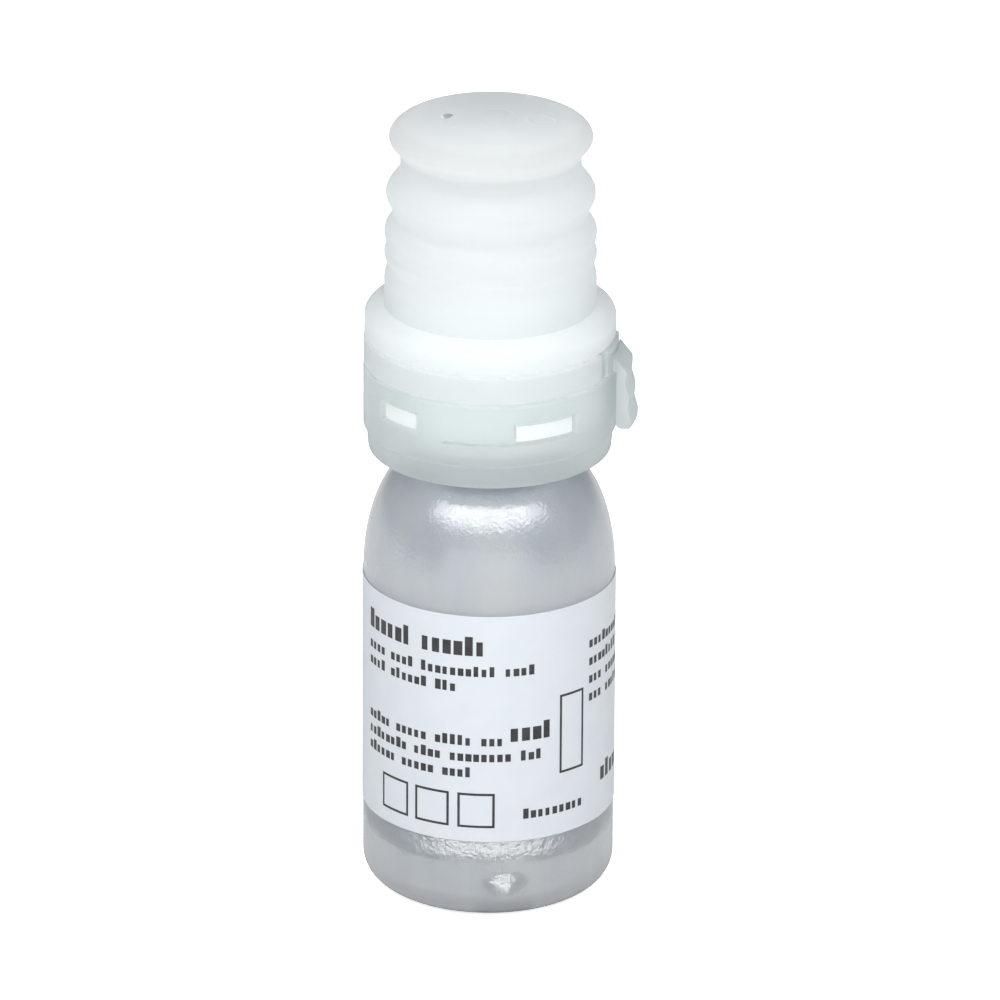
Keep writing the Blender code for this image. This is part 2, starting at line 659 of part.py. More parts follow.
def make_tear_band():
    """Strip open at one place, where its tail ends, with small bridges along both edges."""
    band = make_washer("tear_band", RING_BORE, BAND_RADIUS, BAND_LOW_Z, BAND_HIGH_Z, "natural_plastic")
    inner, outer = RING_BORE + BRIDGE_INSET, BAND_RADIUS - BRIDGE_INSET
    bridges = [
        sector(inner, outer, BRIDGE_START + math.tau * index / BRIDGE_COUNT, BRIDGE_SWEEP)
        for index in range(BRIDGE_COUNT)
    ]
    height = BAND_HEIGHT + BRIDGE_HEIGHT * 2
    posts = place_helper("band_bridges", prism_mesh("band_bridges", bridges, height))
    posts.location.z = BAND_LOW_Z - BRIDGE_HEIGHT
    combine(band, posts, "UNION")
    low, high = BAND_LOW_Z - BRIDGE_HEIGHT - CUT_OVERRUN, BAND_HIGH_Z + BRIDGE_HEIGHT + CUT_OVERRUN
    side = BAND_END_GAP / 2
    corners = [
        (side, low),
        (side, high),
        (-side, high),
        (-side, BAND_LOW_Z, BAND_END_RADIUS),
        (-side - BAND_END_RADIUS - CUT_OVERRUN, BAND_LOW_Z),
        (-side - BAND_END_RADIUS - CUT_OVERRUN, low),
    ]
    inside = RING_BORE - CUT_OVERRUN
    depth = BAND_RADIUS + CUT_OVERRUN - inside
    mesh = prism_mesh("band_end", [outline(corners, closed=False)], depth)
    outwards = Matrix.Rotation(math.pi / 2, 4, "Z") @ Matrix.Rotation(math.pi / 2, 4, "X")
    mesh.transform(Matrix.Translation((inside, 0, 0)) @ outwards)
    end = place_helper("band_end", mesh)
    end.rotation_euler.z = BAND_END_TURN
    combine(band, end, "DIFFERENCE")


def tab_side():
    """Side view of the tab, as (outwards, upwards) points from its hinge on the band's outside."""
    face = COLLAR_RADIUS + TAB_SLOT - HINGE_RADIUS
    grip_low, grip_high = TAB_FOOT_HEIGHT - TAB_LENGTH, -TAB_TOP_DROP
    corners = [
        (-TAB_WIDTH / 2, 0),
        (-TAB_WIDTH / 2, -TAB_ROOT_HEIGHT),
        (face, -TAB_ROOT_HEIGHT),
        (face, -TAB_LENGTH, TAB_FOOT_RADIUS),
        (TAB_FOOT_DEPTH, -TAB_LENGTH, TAB_FOOT_RADIUS),
    ]
    steps = TAB_GROOVE_COUNT * TAB_GROOVE_STEPS
    for step in range(steps + 1):
        share = step / steps
        groove = TAB_GROOVE_DEPTH * math.sin(math.pi * share * TAB_GROOVE_COUNT) ** 2
        depth = TAB_FOOT_DEPTH + (TAB_TOP_DEPTH - TAB_FOOT_DEPTH) * share - groove
        corners.append((depth, grip_low + (grip_high - grip_low) * share))
    corners.append((0, 0))
    return outline(corners, closed=False)


def make_pull_tab():
    """Tab with grooves for the finger, hollowed at its root to follow the band."""
    hinge = bpy.data.objects.new("pull_tab_hinge", None)
    hinge.location = (HINGE_RADIUS, 0, HINGE_Z)
    parts.objects.link(hinge)
    mesh = prism_mesh("pull_tab", [tab_side()], TAB_WIDTH)
    upright = Matrix.Rotation(math.pi / 2, 4, "X")
    mesh.transform(Matrix.Translation((0, TAB_WIDTH / 2, 0)) @ upright)
    tab = place("pull_tab", mesh)
    tab.parent = hinge
    paint(tab, "natural_plastic")
    height = TAB_LENGTH + CUT_OVERRUN * 2
    low_z, high_z = HINGE_Z - height + CUT_OVERRUN, HINGE_Z + CUT_OVERRUN
    core = [(0, high_z), (HINGE_RADIUS, high_z), (HINGE_RADIUS, low_z), (0, low_z)]
    hollow = place_helper("tab_hollow", turned_mesh("tab_hollow", core))
    turn(hollow, LARGE_STEPS)
    combine(tab, hollow, "DIFFERENCE")


def make_cap():
    """Pull-off cap: skirt, rounded shoulder, four grip ribs, pinch and a shallow domed crown."""
    grip = [(RIB_RADIUS, GRIP_LOW_Z)]
    for height_share, depth_share in GRIP_WAVE_SHARES:
        grip.append((RIB_RADIUS - GROOVE_DEPTH * depth_share, GRIP_LOW_Z + GRIP_HEIGHT * height_share))
    grip += [(PINCH_RADIUS, PINCH_Z - PINCH_LAND / 2), (PINCH_RADIUS, PINCH_Z + PINCH_LAND / 2)]
    grip.append((CROWN_RADIUS, CROWN_LOW_Z))
    crown_edge = (CROWN_FLAT_RADIUS, CAP_HIGH_Z - CROWN_DISHING)
    crown = quarter((CROWN_RADIUS, CROWN_LOW_Z), crown_edge, CROWN_STEPS)
    crown += [(CROWN_FLAT_RADIUS / 2, CAP_HIGH_Z - CROWN_DISHING / 4), (0, CAP_HIGH_Z)]
    shoulder = quarter((SKIRT_RADIUS, SKIRT_HIGH_Z), (RIB_RADIUS, GRIP_LOW_Z), FILLET_STEPS)
    sleeve_inner = TIP_RADIUS + TIP_SLEEVE_GAP
    sleeve_outer = sleeve_inner + TIP_SLEEVE_WALL
    sleeve_low_z = CEILING_Z - TIP_SLEEVE_LENGTH
    inside = [
        (RING_BORE, SKIRT_LOW_Z),
        (RING_BORE, SKIRT_HIGH_Z),
        (GRIP_BORE, GRIP_LOW_Z),
        (GRIP_BORE, PINCH_Z - CROWN_HEIGHT - PINCH_WALL),
        (PINCH_BORE, PINCH_Z - PINCH_WALL),
        (PINCH_BORE, CEILING_Z, CROWN_FILLET),
        (sleeve_outer, CEILING_Z),
        (sleeve_outer, sleeve_low_z),
        (sleeve_inner, sleeve_low_z),
        (sleeve_inner, CEILING_Z),
        (0, CEILING_Z),
    ]
    outside = [(SKIRT_RADIUS, SKIRT_LOW_Z)] + shoulder + wave(grip, WAVE_STEPS)[1:] + crown[1:]
    cap = turned("cap", outside[::-1] + outline(inside, closed=False), "natural_plastic")
    depth = CROWN_THICKNESS + CUT_OVERRUN * 2
    ring = []
    for step in range(SMALL_STEPS):
        angle = math.tau * step / SMALL_STEPS
        ring.append((VENT_RADIUS * math.cos(angle), VENT_RADIUS * math.sin(angle)))
    vent = place_helper("cap_vent", prism_mesh("cap_vent", [ring], depth))
    vent.location = (
        VENT_OFFSET * math.cos(VENT_TURN),
        VENT_OFFSET * math.sin(VENT_TURN),
        CEILING_Z - CUT_OVERRUN,
    )
    combine(cap, vent, "DIFFERENCE")


def make_nozzle():
    """Housing over the spigot: cored base, shoulder that follows the cap, waist, cone and tip."""
    shoulder_low_z = SKIRT_HIGH_Z - SEAT_GAP
    shoulder_high_z = GRIP_LOW_Z - SEAT_GAP
    waist = GRIP_BORE - NOZZLE_ROOM
    cone_low_z = shoulder_high_z + NOZZLE_WAIST_HEIGHT
    cone = NOZZLE_HIGH_Z - cone_low_z
    bore_high_z = NOZZLE_HIGH_Z - TIP_BORE_STOP
    groove_z = DECK_HIGH_Z + SPIGOT_HEIGHT / 2
    groove = SPIGOT_BEAD
    core_outer, core_inner = DRUM_RADIUS - NOZZLE_WALL, NOZZLE_BORE + groove + NOZZLE_WALL
    core_high_z = NOZZLE_LOW_Z + NOZZLE_CORE_DEPTH
    turned(
        "nozzle",
        outline(
            [
                (ORIFICE_RADIUS, NOZZLE_HIGH_Z),
                (TIP_RADIUS, NOZZLE_HIGH_Z, TIP_FILLET),
                (NECKING_RADIUS, cone_low_z + cone * CONE_END_SHARE, NECKING_FILLET),
                (waist * CONE_START_RADIUS_SHARE, cone_low_z + cone * CONE_START_SHARE, NECKING_FILLET),
                (waist, cone_low_z),
                (waist, shoulder_high_z),
                (DRUM_RADIUS, shoulder_low_z, NOZZLE_FILLET),
                (DRUM_RADIUS, NOZZLE_LOW_Z),
                (core_outer, NOZZLE_LOW_Z),
                (core_outer, core_high_z),
                (core_inner, core_high_z),
                (core_inner, NOZZLE_LOW_Z),
                (NOZZLE_BORE, NOZZLE_LOW_Z),
                (NOZZLE_BORE, groove_z - groove - SEAT_GAP),
                (NOZZLE_BORE + groove, groove_z),
                (NOZZLE_BORE, groove_z + groove + SEAT_GAP),
                (NOZZLE_BORE, LEDGE_LOW_Z),
                (LEDGE_BORE, LEDGE_LOW_Z),
                (LEDGE_BORE, CHAMBER_LOW_Z),
                (CHAMBER_RADIUS, CHAMBER_LOW_Z),
                (CHAMBER_RADIUS, CHAMBER_HIGH_Z),
                (TIP_BORE_RADIUS, CHAMBER_HIGH_Z),
                (TIP_BORE_RADIUS, bore_high_z),
                (ORIFICE_RADIUS, NOZZLE_HIGH_Z - ORIFICE_LENGTH),
            ]
        ),
        "white_plastic",
    )


def make_filter_retainer():
    """Ring with a lip along its inner edge, pressed down on the filter by the insert's flange."""
    inner = INSERT_TUBE_RADIUS + SEAT_GAP
    high_z = RETAINER_LOW_Z + RETAINER_THICKNESS
    corners = [
        (INSERT_FLANGE_RADIUS, high_z - RETAINER_LIP),
        (INSERT_FLANGE_RADIUS, RETAINER_LOW_Z),
        (inner, RETAINER_LOW_Z),
        (inner, high_z),
        (inner + RETAINER_LIP, high_z),
        (inner + RETAINER_LIP, high_z - RETAINER_LIP),
    ]
    turned("filter_retainer", outline(corners), "white_plastic", MIDDLE_STEPS)


def make_channel_insert():
    """Stepped tube with channels round its drum, and the post that the spring stands on."""
    channels = []
    pitch = (INSERT_DRUM_HIGH_Z - FLANGE_HIGH_Z) / (CHANNEL_COUNT + 1)
    for index in range(CHANNEL_COUNT, 0, -1):
        middle = FLANGE_HIGH_Z + pitch * index
        high, low = middle + CHANNEL_HEIGHT / 2, middle - CHANNEL_HEIGHT / 2
        channels += [
            (INSERT_DRUM_RADIUS, high),
            (INSERT_DRUM_RADIUS - CHANNEL_DEPTH, high),
            (INSERT_DRUM_RADIUS - CHANNEL_DEPTH, low),
            (INSERT_DRUM_RADIUS, low),
        ]
    corners = [
        (CHAMBER_RADIUS - SEAT_GAP, INSERT_HIGH_Z),
        (CHAMBER_RADIUS - SEAT_GAP, INSERT_DRUM_HIGH_Z),
        (INSERT_DRUM_RADIUS, INSERT_DRUM_HIGH_Z),
        *channels,
        (INSERT_DRUM_RADIUS, FLANGE_HIGH_Z),
        (INSERT_FLANGE_RADIUS, FLANGE_HIGH_Z),
        (INSERT_FLANGE_RADIUS, FLANGE_LOW_Z),
        (INSERT_TUBE_RADIUS, FLANGE_LOW_Z),
        (INSERT_TUBE_RADIUS, INSERT_LOW_Z),
        (INSERT_TUBE_RADIUS - INSERT_TUBE_WALL, INSERT_LOW_Z),
        (INSERT_TUBE_RADIUS - INSERT_TUBE_WALL, FLANGE_LOW_Z),
        (INSERT_BORE_RADIUS, FLANGE_LOW_Z),
        (INSERT_BORE_RADIUS, INSERT_HIGH_Z),
    ]
    turned("channel_insert", outline(corners), "white_plastic", MIDDLE_STEPS)


def make_valve_pin():
    """Pin with a disc that the spring pushes up, and a nose that closes the orifice."""
    nose_z = NOZZLE_HIGH_Z - ORIFICE_LENGTH - PIN_TIP_GAP
    tip_radius = ORIFICE_RADIUS - PIN_TIP_GAP
    points = [
        (0, nose_z),
        (tip_radius, nose_z),
        (PIN_RADIUS, NOZZLE_HIGH_Z - TIP_BORE_STOP - PIN_NOSE_LENGTH / 2),
        (PIN_RADIUS, PIN_DISC_HIGH_Z),
        (PIN_DISC_RADIUS, PIN_DISC_HIGH_Z),
        (PIN_DISC_RADIUS, PIN_DISC_LOW_Z),
        (PIN_STEM_RADIUS, PIN_DISC_LOW_Z),
        (PIN_STEM_RADIUS, INSERT_HIGH_Z - PIN_STEM_ENGAGEMENT),
        (0, INSERT_HIGH_Z - PIN_STEM_ENGAGEMENT),
    ]
    turned("valve_pin", points, "white_plastic", SMALL_STEPS)


def make_valve_spring():
    """Open coil between the insert's post and the pin's disc, as one tube."""
    count = round(SPRING_TURNS * SPRING_POINTS_A_TURN)
    low_z, high_z = SPRING_LOW_Z + SPRING_WIRE_RADIUS, SPRING_HIGH_Z - SPRING_WIRE_RADIUS
    points = []
    for index in range(count + 1):
        angle = math.tau * index / SPRING_POINTS_A_TURN
        height = low_z + (high_z - low_z) * index / count
        x, y = SPRING_RADIUS * math.cos(angle), SPRING_RADIUS * math.sin(angle)
        points.append(Vector((x, y, height)))
    curve = bpy.data.curves.new("valve_spring", "CURVE")
    curve.dimensions = "3D"
    curve.bevel_depth = SPRING_WIRE_RADIUS
    curve.bevel_resolution = 2
    curve.use_fill_caps = True
    spline = curve.splines.new("POLY")
    spline.points.add(count)
    for knot, point in zip(spline.points, points):
        knot.co = (*point, 1.0)
    spring = place("valve_spring", curve)
    paint(spring, "spring_steel")
    distances = []
    for index, point in enumerate(points):
        for other in points[index + SPRING_POINTS_A_TURN // 2 :]:
            distances.append((point - other).length)
    gap = min(distances) - SPRING_WIRE_RADIUS * 2
    print(f"valve_spring: least gap to itself {gap / MM:.2f} mm")


clear_scene()
parts = new_collection("eye_drop_bottle")
helpers = new_collection("cutters", helpers=True)
materials = {name: new_material(name) for name in MATERIALS}
make_bottle()
make_label()
make_washer("neck_gasket", NECK_BORE, NECK_RADIUS, GASKET_LOW_Z, GASKET_HIGH_Z, "seal_rubber")
make_dispenser_body()
make_collar()
make_tear_band()
make_pull_tab()
make_cap()
make_nozzle()
make_washer(
    "vent_filter",
    INSERT_TUBE_RADIUS + SEAT_GAP,
    INSERT_FLANGE_RADIUS,
    FILTER_LOW_Z,
    FILTER_LOW_Z + FILTER_THICKNESS,
    "filter_felt",
    MIDDLE_STEPS,
)
make_filter_retainer()
make_channel_insert()
make_washer(
    "valve_seal",
    PIN_RADIUS + SEAT_GAP,
    SEAL_RADIUS,
    SEAL_LOW_Z,
    SEAL_HIGH_Z,
    "seal_rubber",
    SMALL_STEPS,
)
make_valve_pin()
make_valve_spring()
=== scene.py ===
"""Looks of the eye drop bottle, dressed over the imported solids. Outlines are in millimetres, +Z up."""

import math
import random

import bmesh
import bpy
from mathutils import Matrix, Vector


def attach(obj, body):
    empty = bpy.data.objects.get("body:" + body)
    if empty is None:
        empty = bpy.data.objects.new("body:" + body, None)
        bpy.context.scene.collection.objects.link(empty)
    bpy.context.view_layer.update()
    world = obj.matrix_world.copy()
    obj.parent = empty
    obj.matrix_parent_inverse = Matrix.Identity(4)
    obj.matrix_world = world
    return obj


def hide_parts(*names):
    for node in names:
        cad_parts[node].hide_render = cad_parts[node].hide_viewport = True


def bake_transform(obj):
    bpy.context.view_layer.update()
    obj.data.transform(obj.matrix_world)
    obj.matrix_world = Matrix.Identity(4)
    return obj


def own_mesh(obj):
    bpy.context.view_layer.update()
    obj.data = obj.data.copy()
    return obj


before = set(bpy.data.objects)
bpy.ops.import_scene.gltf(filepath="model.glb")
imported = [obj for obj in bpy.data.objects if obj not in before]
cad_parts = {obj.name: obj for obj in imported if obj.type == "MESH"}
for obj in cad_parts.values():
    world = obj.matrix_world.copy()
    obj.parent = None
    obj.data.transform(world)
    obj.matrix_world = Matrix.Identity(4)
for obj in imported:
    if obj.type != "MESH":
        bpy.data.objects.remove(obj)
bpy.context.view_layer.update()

MM = 0.001
SHARP = math.radians(32)

# Segments of a full turn: for most pieces, for those inside, and for the cap with its marks
FINE = 160
COARSE = 96
FINEST = 192

# The camera stands where the photograph was taken from, 8 degrees round from the bottle's front
VIEW_TURN = math.radians(8)
VIEW_RISE = math.radians(22.5)
VIEW_DISTANCE = 1.1
VIEW_HEIGHT = 0.04
VIEW_LENS = 402
VIEW_SHIFT = 0.0105
VIEW_LEAN = math.radians(0.26)

# Soft lights: degrees round from the camera, degrees up, distance, width and height in metres, and radiance
PANELS = (
    (-52, 42, 0.9, 0.44, 0.46, 2.46),
    (-26, 42, 0.9, 0.44, 0.46, 2.255),
    (0, 42, 0.9, 0.44, 0.46, 2.05),
    (26, 42, 0.9, 0.44, 0.46, 2.05),
    (52, 42, 0.9, 0.44, 0.46, 2.05),
    (0, 4, 0.9, 1.6, 0.3, 0.85),
    (0, 88, 0.8, 0.6, 0.6, 2.1),
)
WORLD_LIGHT = 0.3

# The floor, and its glow round the bottle as (metres from the axis, strength), which leaves the shadow
FLOOR_SIZE = 3
FLOOR_DROP = 0.0001
GLOW_NEAR = (0.012, 0.7)
GLOW_FAR = (0.06, 1.0)

# Radii that the rings of the head share, and the heights where they meet
BODY = 12.45
RING_BORE = 11.4
RING = 12.4
SKIRT = 12.35
DRUM = 11.1
COLLAR_LOW = 46.1
COLLAR_HIGH = 54.75
BAND_LOW = 55.05
BAND_HIGH = 57.7
SKIRT_LOW = 58.0
SKIRT_HIGH = 59.8
TOP = 80.5
SEAT_GAP = 0.3

# The bottle's wall: its bore and inner floor, the height where the shoulder starts, and the neck
BORE = 11.65
BORE_FLOOR = 1.3
BORE_FOOT = 3.0
SHOULDER = 33.0
NECK_BORE = 5.9
NECK = 7.5

# The liquid: its gap to the wall, and its surface as (radius, height)
LIQUID_GAP = 0.05
LIQUID_EDGE = 25.0
LIQUID_SURFACE = ((11.3, 24.5), (10.7, 24.2), (0, 24.1))

# Middles of the collar's two windows, in degrees
WINDOWS = (-90, 90)

# The collar's openings and the slit between them: degrees from the window's middle, lower edge, height
OPENINGS = ((-51, -27, 51.1, 2.2), (19, 51, 50.7, 2.2))
SLIT = (-14.4, 37, 50.7, 0.3)
CUT_INNER = 10.9
CUT_OUTER = 13.2

# The white lugs in the openings, clear of their ends by some degrees
LUG_INNER = 10.95
LUG_OUTER = 12.05
LUG_CLEAR = 1.4

# Bridges above and below the tear band, and the cut that opens it beside the tab
BRIDGES = 8
BRIDGE_INNER = 11.65
BRIDGE_OUTER = 12.15
BRIDGE_REACH = 0.18
BRIDGE_START = 12.5
BRIDGE_SWEEP = 3
BAND_CUT_TURN = -18
BAND_CUT_HALF = 0.45
BAND_CUT_ROUND = 1.0
BAND_CUT_SPARE = 0.6
BAND_CUT_DEPTH = 3.0

# The pull tab's hinge as (radius, height), and its side view from there as (outwards, upwards)
TAB_HINGE = (12.7, 57.0)
TAB_SIDE = ((-2.5, 0), (-2.5, -1.7), (0.35, -1.7), (0.35, -7.65, 0.5), (1.87, -7.65, 0.5))
TAB_FACE = (1.87, -7.05)
TAB_FACE_RUN = (-0.57, 5.45)
TAB_FACE_STEPS = 36
TAB_GROOVES = 2
TAB_GROOVE_DEPTH = 0.2
TAB_WIDTH = 5.0
TAB_CURVE = 13.0
TAB_EDGE = 0.12

# Outlines of the band's land at the tab's root and of the hinge's web, and how far each goes round
LAND = ((12.62, 57.75, 0.15), (12.62, 55.2, 0.15), (12.2, 55.2), (12.2, 57.75))
LAND_START = -15.6
LAND_SWEEP = 27
WEB = ((11.9, 56.95), (12.9, 56.75), (12.9, 56.45), (11.9, 56.5))
WEB_START = -10
WEB_SWEEP = 20

# The label: radii, heights and rounding, and the turn that leaves a narrow gap at the back
LABEL_INNER = 12.48
LABEL_OUTER = 12.54
LABEL_LOW = 8.7
LABEL_HIGH = 32.8
LABEL_EDGE = 0.02
LABEL_START = 91.37
LABEL_SWEEP = 357.26

# Rows of plain blocks on the label, as (from degree, to degree, lower edge, block height, step)
INK_LOW = 12.543
INK = 12.549
BLOCK_SEED = 7
BLOCK_RUNS = (3, 9)
BLOCK_WIDTHS = (0.55, 0.8)
BLOCK_HEIGHTS = (1, 1, 1, 1.35)
BLOCK_ROWS = (
    (-150, -84, 28.6, 1.5, 5.2),
    (-150, -62, 26.4, 0.8, 3.6),
    (-150, -98, 24.7, 0.8, 3.6),
    (-150, -76, 19.0, 0.8, 3.6),
    (-150, -60, 17.3, 0.8, 3.6),
    (-150, -90, 15.6, 0.8, 3.6),
    (-72, -52, 19.4, 1.4, 5.2),
    (-66, -34, 11.0, 0.8, 3.6),
    (-30, 82, 27.5, 0.8, 3.6),
    (-30, 74, 25.6, 0.8, 3.6),
    (-30, 82, 23.7, 0.8, 3.6),
    (-30, 70, 21.8, 0.8, 3.6),
    (-20, 60, 12.5, 1.4, 5.2),
)

# Empty frames on the label, as (from degree, lower edge, degrees across, height)
FRAME_LINE = 0.25
LABEL_FRAMES = (
    (-138, 10.2, 17, 3.7),
    (-117, 10.2, 17, 3.7),
    (-96, 10.2, 17, 3.7),
    (-48, 15.2, 14, 8.4),
)

# Relief of the bottle's wall, in millimetres but for the blister's angle
GRAIN_DEPTH = 0.04
SLOPE_LOW = 6.0
SLOPE_HIGH = 10.4
SLOPE_RAGGED = 0.6
SLOPE_DEPTH = 2.0
BLISTER_ANGLE = -74
BLISTER_HEIGHT = 2.4
BLISTER_RADIUS = 3.9
BLISTER_RAGGED = 0.4
BLISTER_DEPTH = 2.0

# Outline of the cap's grip, as (radius, height) where the wave turns
GRIP = (
    (10.4, 61.1),
    (10.4, 63.7),
    (10.15, 65.2),
    (10.4, 66.4),
    (10.2, 67.1),
    (10.4, 68.6),
    (9.6, 70.5),
    (10.25, 72.6),
    (8.85, 75.4),
    (8.85, 76.4),
    (9.96, 78.3),
)
WAVE_STEPS = 10

# Inside of the cap: its bore, the narrower bore under the crown, the roof, and the nozzle's sealing ring
CAP_BORE = 9.0
CROWN_BORE = 7.9
ROOF = 79.3
SEAL_OUTER = 3.7
SEAL_INNER = 3.2
SEAL_LOW = 76.3

# The crown: how far its edge drops, where its rim starts, and the vent hole with the painted shade on its
# far wall
CROWN_DROP = 0.5
CROWN_FLAT = 7.0
CROWN_RINGS = 60
VENT = (-4.36, -0.61, 80.27)
VENT_RADIUS = 0.5
VENT_FAR = (0.15, 0.35)
VENT_BLUR = 0.1
VENT_DARK = 0.55
HOLE_HIGH = 81.0
HOLE_LOW = 78.9

# Faint raised marks on the crown: centre x, centre y, radius, from angle, to angle, width
MARK_HEIGHT = 0.09
CROWN_MARKS = (
    (0.5, 0.3, 1.8, 10, 170, 0.7),
    (-1.2, -6.0, 3.6, 16, 135, 0.7),
    (5.0, 0.0, 1.4, 0, 360, 0.6),
)

# The valve's coil: wire radius, coil radius, lower end, rise, turns, and points in a turn
WIRE = 0.2
COIL = 2.1
COIL_LOW = 63.8
COIL_RISE = 3.6
COIL_TURNS = 3.5
COIL_STEPS = 40

# Where a mottled colour's two tones stand on its noise
MOTTLE_STOPS = (0.35, 0.65)

# Painted shade on the plastics by height, as (millimetres, grey): round the rim of the cap's crown, towards
# the bottle's foot, and towards the collar's foot
CAP_RIM_PAINTED_SHADE = ((58.0, 1.0), (75.0, 1.0), (77.5, 0.91), (79.5, 0.92), (80.0, 1.0))
BOTTLE_FOOT_PAINTED_SHADE = ((0.0, 0.88), (9.0, 0.88), (32.0, 1.0), (45.0, 1.0))
COLLAR_FOOT_PAINTED_SHADE = ((46.0, 0.95), (48.5, 0.97), (51.0, 1.0), (54.75, 1.0))


def arc(before, corner, after, radius, steps):
    """Points that round a corner. An edge with two rounded ends gives each of them half its length."""
    here = Vector(corner[:2])
    one = Vector(before[:2]) - here
    two = Vector(after[:2]) - here
    half = one.angle(two) / 2
    room_one = one.length * (0.5 if len(before) > 2 else 0.98)
    room_two = two.length * (0.5 if len(after) > 2 else 0.98)
    reach = min(radius / math.tan(half), room_one, room_two)
    radius = reach * math.tan(half)
    centre = here + (one.normalized() + two.normalized()).normalized() * (radius / math.sin(half))
    start = here + one.normalized() * reach - centre
    end = here + two.normalized() * reach - centre
    swept = start.angle_signed(end)
    points = []
    for step in range(steps + 1):
        arm = Matrix.Rotation(-swept * step / steps, 2) @ start
        points.append((centre.x + arm.x, centre.y + arm.y))
    return points


def rounded(corners, steps=4):
    """Points of an outline. A corner with a third number is rounded to that radius."""
    points = []
    for index, corner in enumerate(corners):
        if len(corner) == 2:
            points.append(corner)
        else:
            after = corners[(index + 1) % len(corners)]
            points += arc(corners[index - 1], corner, after, corner[2], steps)
    return points


def quarter(low_point, high_point, steps, upto=90):
    """A quarter ellipse, upright at its low point."""
    points = []
    for step in range(steps + 1):
        angle = math.radians(upto) * step / steps
        radius = high_point[0] + (low_point[0] - high_point[0]) * math.cos(angle)
        height = low_point[1] + (high_point[1] - low_point[1]) * math.sin(angle)
        points.append((radius, height))
    return points


def wave(stations, steps):
    """Swings through (radius, height) stations in half cosines."""
    points = [stations[0]]
    for (radius, height), (next_radius, next_height) in zip(stations, stations[1:]):
        for step in range(1, steps + 1):
            share = step / steps
            swing = math.sin(math.pi / 2 * share) ** 2
            out = radius + (next_radius - radius) * swing
            points.append((out, height + (next_height - height) * share))
    return points


def stand(name, data):
    """Puts an object into the scene."""
    made = bpy.data.objects.new(name, data)
    bpy.context.scene.collection.objects.link(made)
    return made


def add(name, mesh, made, body, replaced):
    """Adds a piece of the model."""
    piece = stand(name, mesh)
    mesh.materials.append(made)
    if body:
        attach(piece, body)
    if replaced:
        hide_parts(*replaced)
    return piece


def smooth(mesh):
    mesh.shade_smooth()
    mesh.set_sharp_from_angle(angle=SHARP)


def finished(name, shape):
    """Turns a bmesh into a smooth mesh, faces outwards."""
    bmesh.ops.recalc_face_normals(shape, faces=shape.faces)
    mesh = bpy.data.meshes.new(name)
    shape.to_mesh(mesh)
    shape.free()
    smooth(mesh)
    return mesh


def lathe(name, points, segments=FINE, start=0.0, sweep=360.0):
    """A closed outline of (radius, height) in millimetres turned round Z. A part turn gets end faces."""
    full = sweep >= 360.0
    shape = bmesh.new()
    count = segments if full else segments + 1
    rows = []
    for radius, height in points:
        if radius < 1e-6:
            vert = shape.verts.new((0, 0, height * MM))
            rows.append([vert] * count)
            continue
        row = []
        for index in range(count):
            angle = math.radians(start + sweep * index / segments)
            place = (radius * MM * math.cos(angle), radius * MM * math.sin(angle), height * MM)
            row.append(shape.verts.new(place))
        rows.append(row)
    for row, after in zip(rows, rows[1:] + rows[:1]):
        if row[0] is row[-1] and after[0] is after[-1] and full:
            continue
        for index in range(segments):
            ahead = (index + 1) % count
            corners = [row[index], row[ahead], after[ahead], after[index]]
            corners = [vert for place, vert in enumerate(corners) if vert not in corners[:place]]
            if len(corners) > 2:
                shape.faces.new(corners)
    if not full:
        shape.faces.new([row[0] for row in rows])
        shape.faces.new([row[-1] for row in reversed(rows)])
    return finished(name, shape)


def pushed(name, points, depth, slices=1):
    """A flat outline of (x, z) in millimetres, made solid along Y, half to each side."""
    shape = bmesh.new()
    rows = []
    for index in range(slices + 1):
        y = depth * (0.5 - index / slices)
        rows.append([shape.verts.new((x * MM, y * MM, z * MM)) for x, z in points])
    for row, after in zip(rows, rows[1:]):
        for index in range(len(points)):
            shape.faces.new([row[index - 1], row[index], after[index], after[index - 1]])
    shape.faces.new(rows[0])
    shape.faces.new(rows[-1])
    return finished(name, shape)


def sector_mesh(inner, outer, low_z, high_z, start, sweep, segments=12):
    """A block of a ring, in millimetres and degrees."""
    corners = [(outer, high_z), (outer, low_z), (inner, low_z), (inner, high_z)]
    return lathe("block", corners, segments, start, sweep)


def joined(name, meshes):
    """One mesh of several."""
    shape = bmesh.new()
    for mesh in meshes:
        shape.from_mesh(mesh)
        bpy.data.meshes.remove(mesh)
    return finished(name, shape)


def evaluated(piece):
    """The mesh of an object as it shows, with what its settings and modifiers add."""
    depsgraph = bpy.context.evaluated_depsgraph_get()
    return bpy.data.meshes.new_from_object(piece.evaluated_get(depsgraph))


def boolean(piece, meshes, operation):
    """Cuts or joins meshes, and keeps only the result."""
    for mesh in meshes:
        tool = stand("tool", mesh)
        cut = piece.modifiers.new("cut", "BOOLEAN")
        cut.operation = operation
        cut.solver = "EXACT"
        cut.object = tool
        made = evaluated(piece)
        piece.modifiers.clear()
        piece.data = made
        bpy.data.objects.remove(tool)
    smooth(piece.data)


def node(made, kind, **values):
    """A new shader node. A value names one of its settings, or else one of its inputs."""
    new = made.node_tree.nodes.new(kind)
    for key, value in values.items():
        if hasattr(new, key):
            setattr(new, key, value)
        else:
            new.inputs[key.replace("_", " ")].default_value = value
    return new


def link(made, source, target):
    made.node_tree.links.new(source, target)


def material(name, base, roughness, **inputs):
    """A Principled material. What is the same all over is set on the shader itself."""
    made = bpy.data.materials.new(name)
    made.use_nodes = True
    shader = made.node_tree.nodes["Principled BSDF"]
    shader.inputs["Base Color"].default_value = (*base, 1)
    shader.inputs["Roughness"].default_value = roughness
    for key, value in inputs.items():
        shader.inputs[key.replace("_", " ")].default_value = value
    return made


